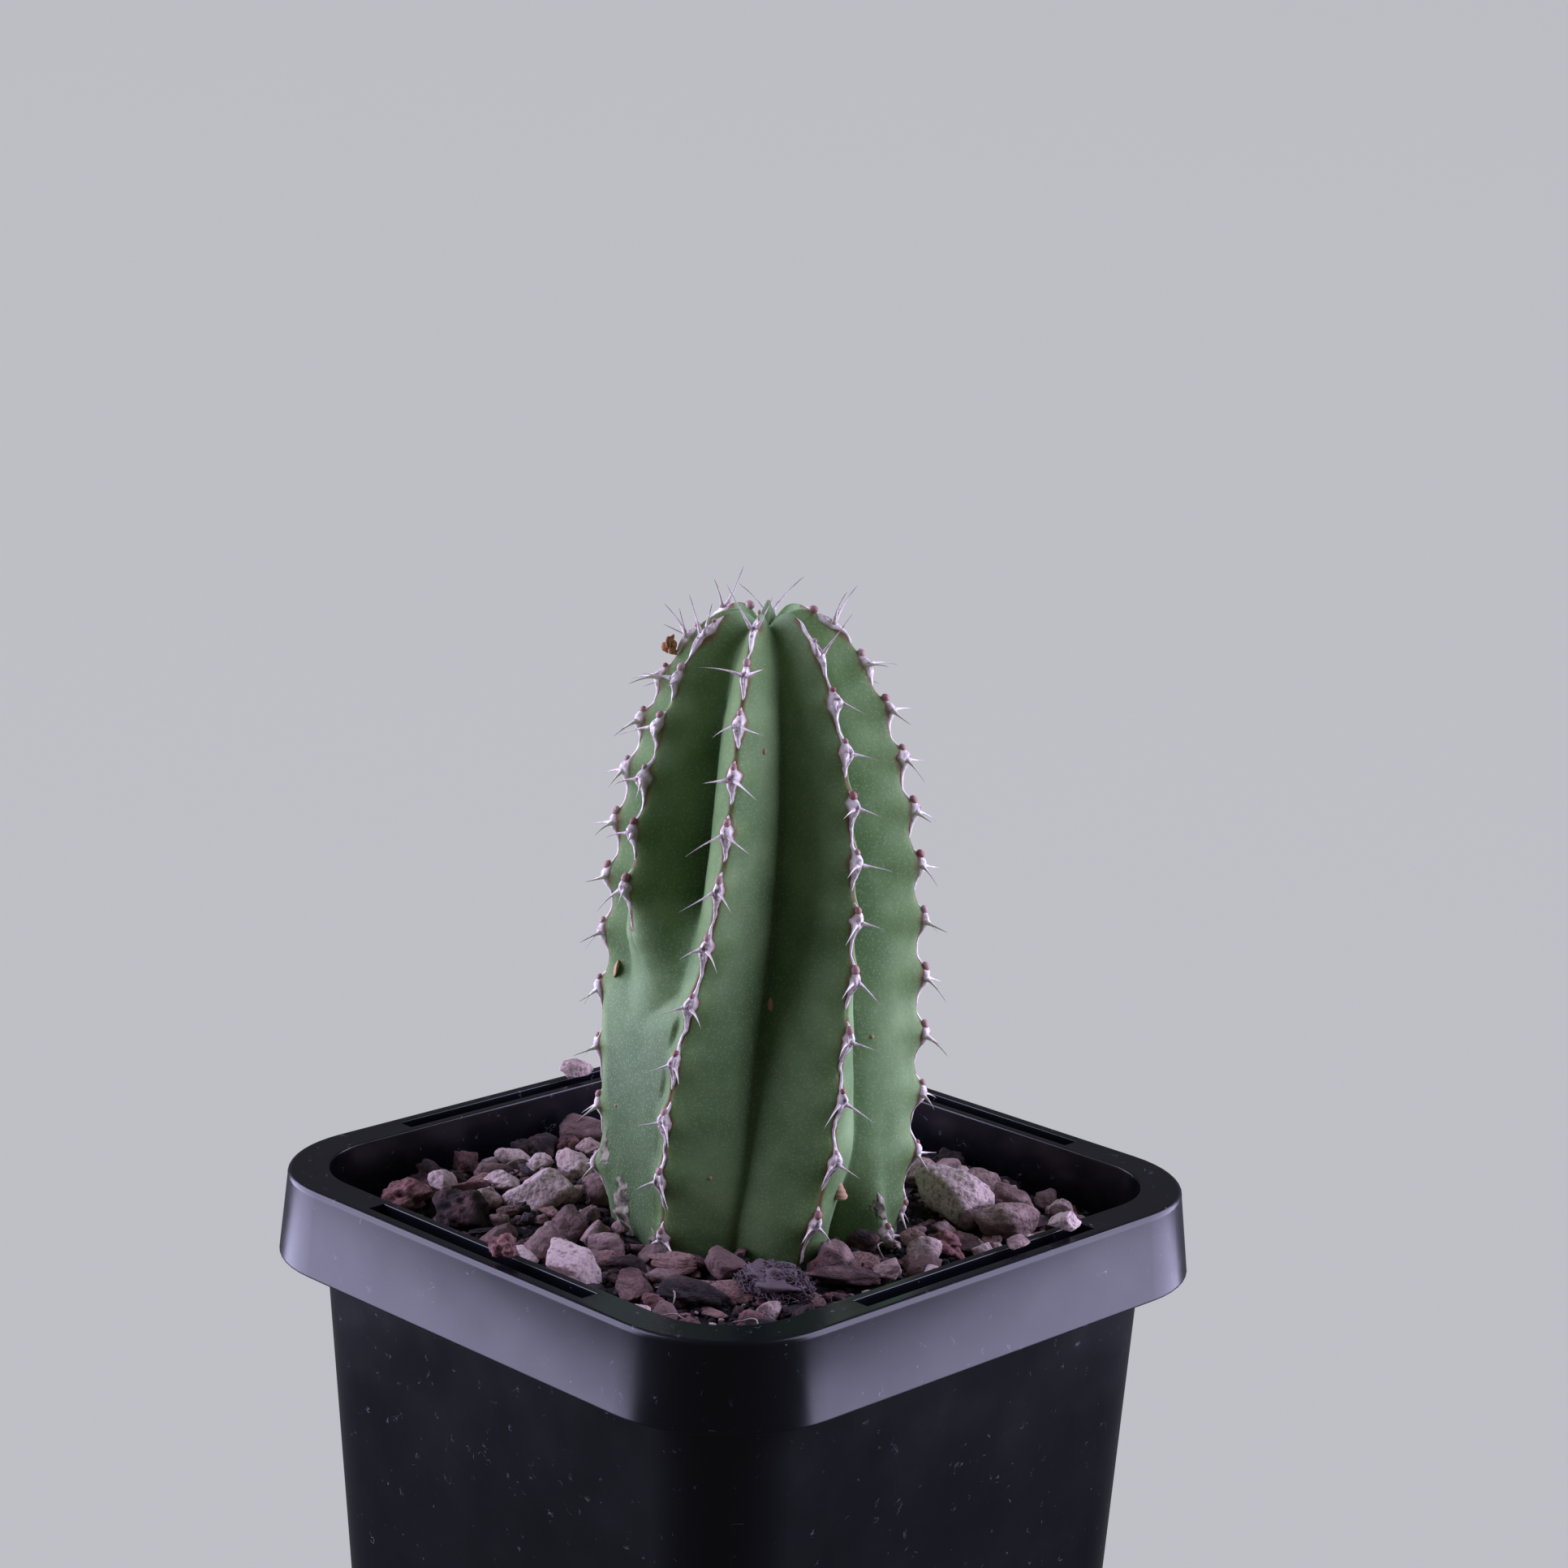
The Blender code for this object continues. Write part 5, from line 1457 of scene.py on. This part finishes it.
@dataclass
class Fibres:
    """Fine roots and dry stalks: thin curved tubes lying on the mix, and a ball of them on the root clump."""

    mix: PottingMix
    loose: int = 10
    loose_length: tuple[float, float] = (3.0, 7.0)
    loose_radius: tuple[float, float] = (0.05, 0.11)
    loose_points: int = 12
    wrapped_round: int = 300
    wrapped_radius: tuple[float, float] = (0.04, 0.075)
    sides: int = 5

    def strewn(self) -> Shell:
        """Loose fibres: arcs that follow the crust and rise a little in the middle."""
        random = np.random.default_rng(77)
        places = self.mix.spots(self.loose, random, 3.0)
        each = (len(places), 1)
        share = np.linspace(-0.5, 0.5, self.loose_points)[None, :]
        bearing = random.uniform(0.0, math.tau, each) + share * random.uniform(-2.2, 2.2, each)
        length = random.uniform(*self.loose_length, each)
        step, middle = length / self.loose_points, bearing[:, 5:6]
        x = places[:, :1] + np.cumsum(np.cos(bearing), axis=1) * step - np.cos(middle) * length / 2
        y = places[:, 1:] + np.cumsum(np.sin(bearing), axis=1) * step - np.sin(middle) * length / 2
        z = self.mix.surface(x, y) + 0.9 + 0.7 * np.cos(math.pi * share)
        radii = random.uniform(*self.loose_radius, each) * (1.0 - (2.0 * np.abs(share)) ** 3 * 0.7)
        tone = np.broadcast_to(random.uniform(0.3, 1.0, each), x.shape)
        return curved_tubes(np.stack([x, y, z], axis=-1), radii, self.sides, {"tone": tone})

    def ball(self) -> Shell:
        """Curled fibres round the root clump: arcs of circles over its surface."""
        random = np.random.default_rng(78)
        low, high = (np.array(corner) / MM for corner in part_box("root_clump"))
        middle, half = (low + high) / 2, (high - low) / 2
        each = (self.wrapped_round, 1)
        first = unit(random.normal(size=(self.wrapped_round, 3)))
        second = unit(np.cross(first, random.normal(size=(self.wrapped_round, 3))))
        turn = np.linspace(0.0, 1.0, 13)[None, :, None] * random.uniform(0.3, 1.1, (*each, 1))
        arc = first[:, None] * np.cos(turn) + second[:, None] * np.sin(turn)
        curl = random.uniform(0.0, 6.0, (*each, 3))
        arc = arc * (1.06 + 0.12 * np.sin(turn * 9.0 + curl[..., :1])) + 0.07 * np.sin(turn * 14.0 + curl)
        arc[..., 2] = np.abs(arc[..., 2]) - 0.2
        paths = middle + arc * half * [1.1, 1.1, 1.35]
        radii = np.broadcast_to(random.uniform(*self.wrapped_radius, each), paths.shape[:2])
        tone = np.broadcast_to(random.uniform(0.2, 1.0, each), paths.shape[:2])
        return curved_tubes(paths, radii, self.sides, {"tone": tone})

    def build(self) -> None:
        """Makes both sets of fibres."""
        piece("fine_roots", self.strewn(), STRAW)
        piece("clump_fibres", self.ball(), ROOT_FIBRE)


@dataclass
class Remnants:
    """The dried flower near the first rib's top, the stalk stub by the fourth rib and dry scales."""

    stem: Stem
    scales: int = 12

    def flower(self) -> Shell:
        """Curled scales round the flower's middle: flat globes bent into cups and set at random angles."""
        random = np.random.default_rng(91)
        low, high = (np.array(corner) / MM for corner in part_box("dried_flower"))
        middle, half = (low + high) / 2, (high - low) / 2 * 1.15
        foot = self.stem.point(np.array(RIBS[0].bearing), np.array(middle[2] - self.stem.ground - 1.2))
        middle = foot + (middle - foot) * 0.45
        reach = np.linspace(0.0, 1.0, 8)[:, None]
        path = foot + (middle - foot) * reach + [0.0, 0.0, 0.5] * reach**2
        shells = [curved_tubes(path[None], np.full((1, 8), 0.22), 7, {"tone": np.full((1, 8), 0.4)})]
        for scale in range(self.scales):
            ball = globe(9, 14) * [0.75, 0.3, 0.9]
            ball[..., 1] += 0.5 * ball[..., 0] ** 2 + 0.35 * ball[..., 2] ** 2
            ball += 0.08 * lumps(ball, 0.5, 92 + scale, 2)[..., None]
            w, x, y, z = unit(random.normal(size=4))
            rotation = np.array([[1 - 2 * (y * y + z * z), 2 * (x * y - w * z), 2 * (x * z + w * y)],
                                 [2 * (x * y + w * z), 1 - 2 * (x * x + z * z), 2 * (y * z - w * x)],
                                 [2 * (x * z - w * y), 2 * (y * z + w * x), 1 - 2 * (x * x + y * y)]])
            shift = unit(random.normal(size=3)) * random.uniform(0.3, 0.75)
            rings = middle + ((ball * random.uniform(0.35, 0.6)) @ rotation.T + shift) * half
            tone = np.full((1, *rings.shape[:2]), random.uniform(0.2, 1.0))
            shells.append(tubes(rings[None], {"tone": tone}))
        return joined(shells)

    def stalk(self) -> Shell:
        """A small cone ribbed across, wider below: a profile of ridged radii up a leaning axis."""
        low, high = (np.array(corner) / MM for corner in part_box("dried_flower_stalk"))
        middle, tall = (low + high) / 2 + [-0.8, -0.8, 1.3], (high - low)[2] * 0.75
        share = np.linspace(0.0, 1.0, 30)[:, None]
        turn = np.linspace(0.0, math.tau, 20, endpoint=False)[None, :]
        radius = (0.72 - 0.5 * share**1.3) * (1.0 + 0.05 * np.sin(share * 30.0 + 1.5 * np.sin(turn)))
        ends = np.sqrt(np.clip(share * 7.0, 0.0, 1.0)) * np.sqrt(np.clip((1.0 - share) * 9.0, 0.0, 1.0))
        radius = radius * ends + 0.02
        outwards = unit(middle - [self.stem.x, self.stem.y, middle[2]])
        up = (share - 0.5) * tall + 0.0 * turn
        rings = np.stack([radius * np.cos(turn), radius * np.sin(turn), up], axis=-1)
        rings = rings + outwards * ((0.5 - share) * 0.9)[..., None] + middle - outwards * 0.8
        stripes = 0.5 + 0.5 * np.sin(share * 30.0 + 1.5 * np.sin(turn))
        return tubes(rings[None], {"tone": stripes[None]})

    def scabs(self) -> Shell:
        """Dry scales on the skin: flat globes, turned to the skin's own directions and half sunk in it."""
        bearing, height, tall, wide = np.array(SCABS).T
        here, out, side, along = self.stem.frames(bearing, height)
        random = np.random.default_rng(97)
        ball = globe(8, 14) * random.uniform(0.85, 1.1, (len(here), 8, 14, 1))
        rings = (side[:, None, None] * ball[..., :1] * wide[:, None, None, None]
                 + out[:, None, None] * ball[..., 1:2] * 0.4
                 + along[:, None, None] * ball[..., 2:] * tall[:, None, None, None])
        tone = np.broadcast_to(random.uniform(0.75, 1.0, len(here))[:, None, None], rings.shape[:3])
        return tubes(rings * 0.5 + here[:, None, None], {"tone": tone})

    def build(self) -> None:
        """Makes the flower, the stalk stub and the scales."""
        piece("dried_flower_scales", self.flower(), DRY_FLOWER, ("dried_flower",))
        piece("dry_stalk_stub", self.stalk(), DRY_STALK, ("dried_flower_stalk",))
        piece("skin_scabs", self.scabs(), DRY_STALK)


SCABS = (  # dry scales on the skin: bearing, height, and millimetres tall and wide
    (-36.8, 25.6, 1.5, 0.8),
    (-44.1, 50.2, 0.7, 0.55),
    (-130.0, 26.2, 1.8, 1.9),
    (-119.0, 13.0, 0.35, 0.3),
    (-62.0, 9.0, 0.4, 0.3),
    (3.0, 30.0, 0.35, 0.3),
    (22.0, 21.0, 0.4, 0.35),
    (62.0, 33.0, 0.6, 0.4),
    (104.0, 22.0, 0.9, 0.5),
    (152.0, 41.0, 0.6, 0.45),
    (-162.0, 17.0, 0.7, 0.5),
)


# ---------------------------------------------------------------- studio


@dataclass
class Studio:
    """The floor, the lights and the camera."""

    floor_half: float = 30.0
    panels: tuple[tuple[str, float], ...] = (("left_panel", 218.0), ("right_panel", 50.0))  # and bearings
    panel_width: float = 0.3
    panel_height: float = 0.42
    panel_gap: float = 0.002  # between the floor and a panel
    panel_distance: float = 0.24
    panel_power: float = 2.3
    panel_colour: str = "#d8d5ff"
    floor_light_power: float = 2.7
    floor_light_angle: float = 50.0  # degrees across, so its shadows are soft
    floor_light_turn: tuple[float, float, float] = (12.0, -8.0, 0.0)
    floor_light_colour: str = "#f3f3f8"
    surround_strength: float = 0.13
    surround_colour: str = "#dcdce6"
    sensor: float = 36.0
    lens: float = 84.15
    camera_place: tuple[float, float, float] = (0.24826, -0.23910, 0.20114)
    camera_right: tuple[float, float, float] = (0.69740, 0.71626, 0.02469)
    camera_up: tuple[float, float, float] = (-0.18140, 0.14308, 0.97295)

    def build_floor(self) -> bpy.types.Object:
        """Lays the plain pale floor."""
        mesh = bpy.data.meshes.new("floor")
        half = self.floor_half
        corners = [(-half, -half, 0.0), (half, -half, 0.0), (half, half, 0.0), (-half, half, 0.0)]
        mesh.from_pydata(corners, [], [(0, 1, 2, 3)])
        mesh.materials.append(PAPER.material())
        floor = bpy.data.objects.new("floor", mesh)
        bpy.context.scene.collection.objects.link(floor)
        floor.visible_diffuse = floor.visible_glossy = False
        return floor

    def panel(self, name: str, bearing: float) -> bpy.types.Object:
        """Stands an upright soft light on the floor, facing the pot.

        Args:
            name: The light's name.
            bearing: Where it stands, in degrees counter-clockwise from +X.

        Returns:
            The light.
        """
        data = bpy.data.lights.new(name, "AREA")
        data.shape, data.size, data.size_y = "RECTANGLE", self.panel_width, self.panel_height
        data.energy, data.color = self.panel_power, linear(self.panel_colour)[:3]
        lamp = bpy.data.objects.new(name, data)
        away = Vector(heading(np.array(bearing)))
        middle = Vector((0.0, 0.0, self.panel_height / 2 + self.panel_gap))
        lamp.location = away * self.panel_distance + middle
        lamp.rotation_euler = away.to_track_quat("Z", "Y").to_euler()
        lamp.visible_camera = False
        bpy.context.scene.collection.objects.link(lamp)
        return lamp

    def build_lights(self, floor: bpy.types.Object) -> None:
        """Two soft panels for the plant, an even soft light for the floor alone and a pale surround.

        Args:
            floor: The floor, which the panels leave out so that it stays evenly lit.
        """
        spared = bpy.data.collections.new("spared_by_panels")
        spared.objects.link(floor)
        spared.collection_objects[0].light_linking.link_state = "EXCLUDE"
        for name, bearing in self.panels:
            self.panel(name, bearing).light_linking.receiver_collection = spared
        data = bpy.data.lights.new("floor_light", "SUN")
        data.energy, data.angle = self.floor_light_power, math.radians(self.floor_light_angle)
        data.color = linear(self.floor_light_colour)[:3]
        lamp = bpy.data.objects.new("floor_light", data)
        lamp.rotation_euler = [math.radians(turn) for turn in self.floor_light_turn]
        bpy.context.scene.collection.objects.link(lamp)
        lit = bpy.data.collections.new("lit_by_floor_light")
        lit.objects.link(floor)
        lamp.light_linking.receiver_collection = lit
        world = bpy.data.worlds.new("surround")
        world.use_nodes = True
        shade = world.node_tree.nodes["Background"]
        fill(world.node_tree, shade, {"Color": self.surround_colour, "Strength": self.surround_strength})
        bpy.context.scene.world = world

    def build_camera(self) -> None:
        """Sets the camera where its place and its right and up directions say."""
        data = bpy.data.cameras.new("camera")
        data.lens, data.sensor_width, data.sensor_fit = self.lens, self.sensor, "HORIZONTAL"
        data.clip_start, data.clip_end = 0.01, 100.0
        camera = bpy.data.objects.new("camera", data)
        right, up = Vector(self.camera_right).normalized(), Vector(self.camera_up).normalized()
        turn = Matrix((right, up, right.cross(up))).transposed().to_4x4()
        camera.matrix_world = Matrix.Translation(self.camera_place) @ turn
        bpy.context.scene.collection.objects.link(camera)
        bpy.context.scene.camera = camera

    def build(self) -> None:
        """Sets up the whole studio."""
        self.build_lights(self.build_floor())
        self.build_camera()
        bpy.context.scene.view_settings.view_transform = "Standard"


def main() -> None:
    """Builds every piece and the studio."""
    logging.basicConfig(level=logging.INFO, format="%(name)s: %(message)s")
    pot, stem = NurseryPot(), Stem()
    mix = PottingMix(pot, stem)
    pot.build()
    stem.build()
    for number, rib in enumerate(RIBS, 1):
        Margin(rib, stem).build(f"horn_strip_{number}", (f"horn_margin_{number}",))
    Margin(SHORT_RIB, stem, top=SHORT_RIB_TOP).build("horn_strip_short")
    mix.build_body()
    mix.build_grains()
    LooseStones(mix).build()
    Fibres(mix).build()
    Remnants(stem).build()
    Studio().build()


if __name__ == "__main__":
    main()
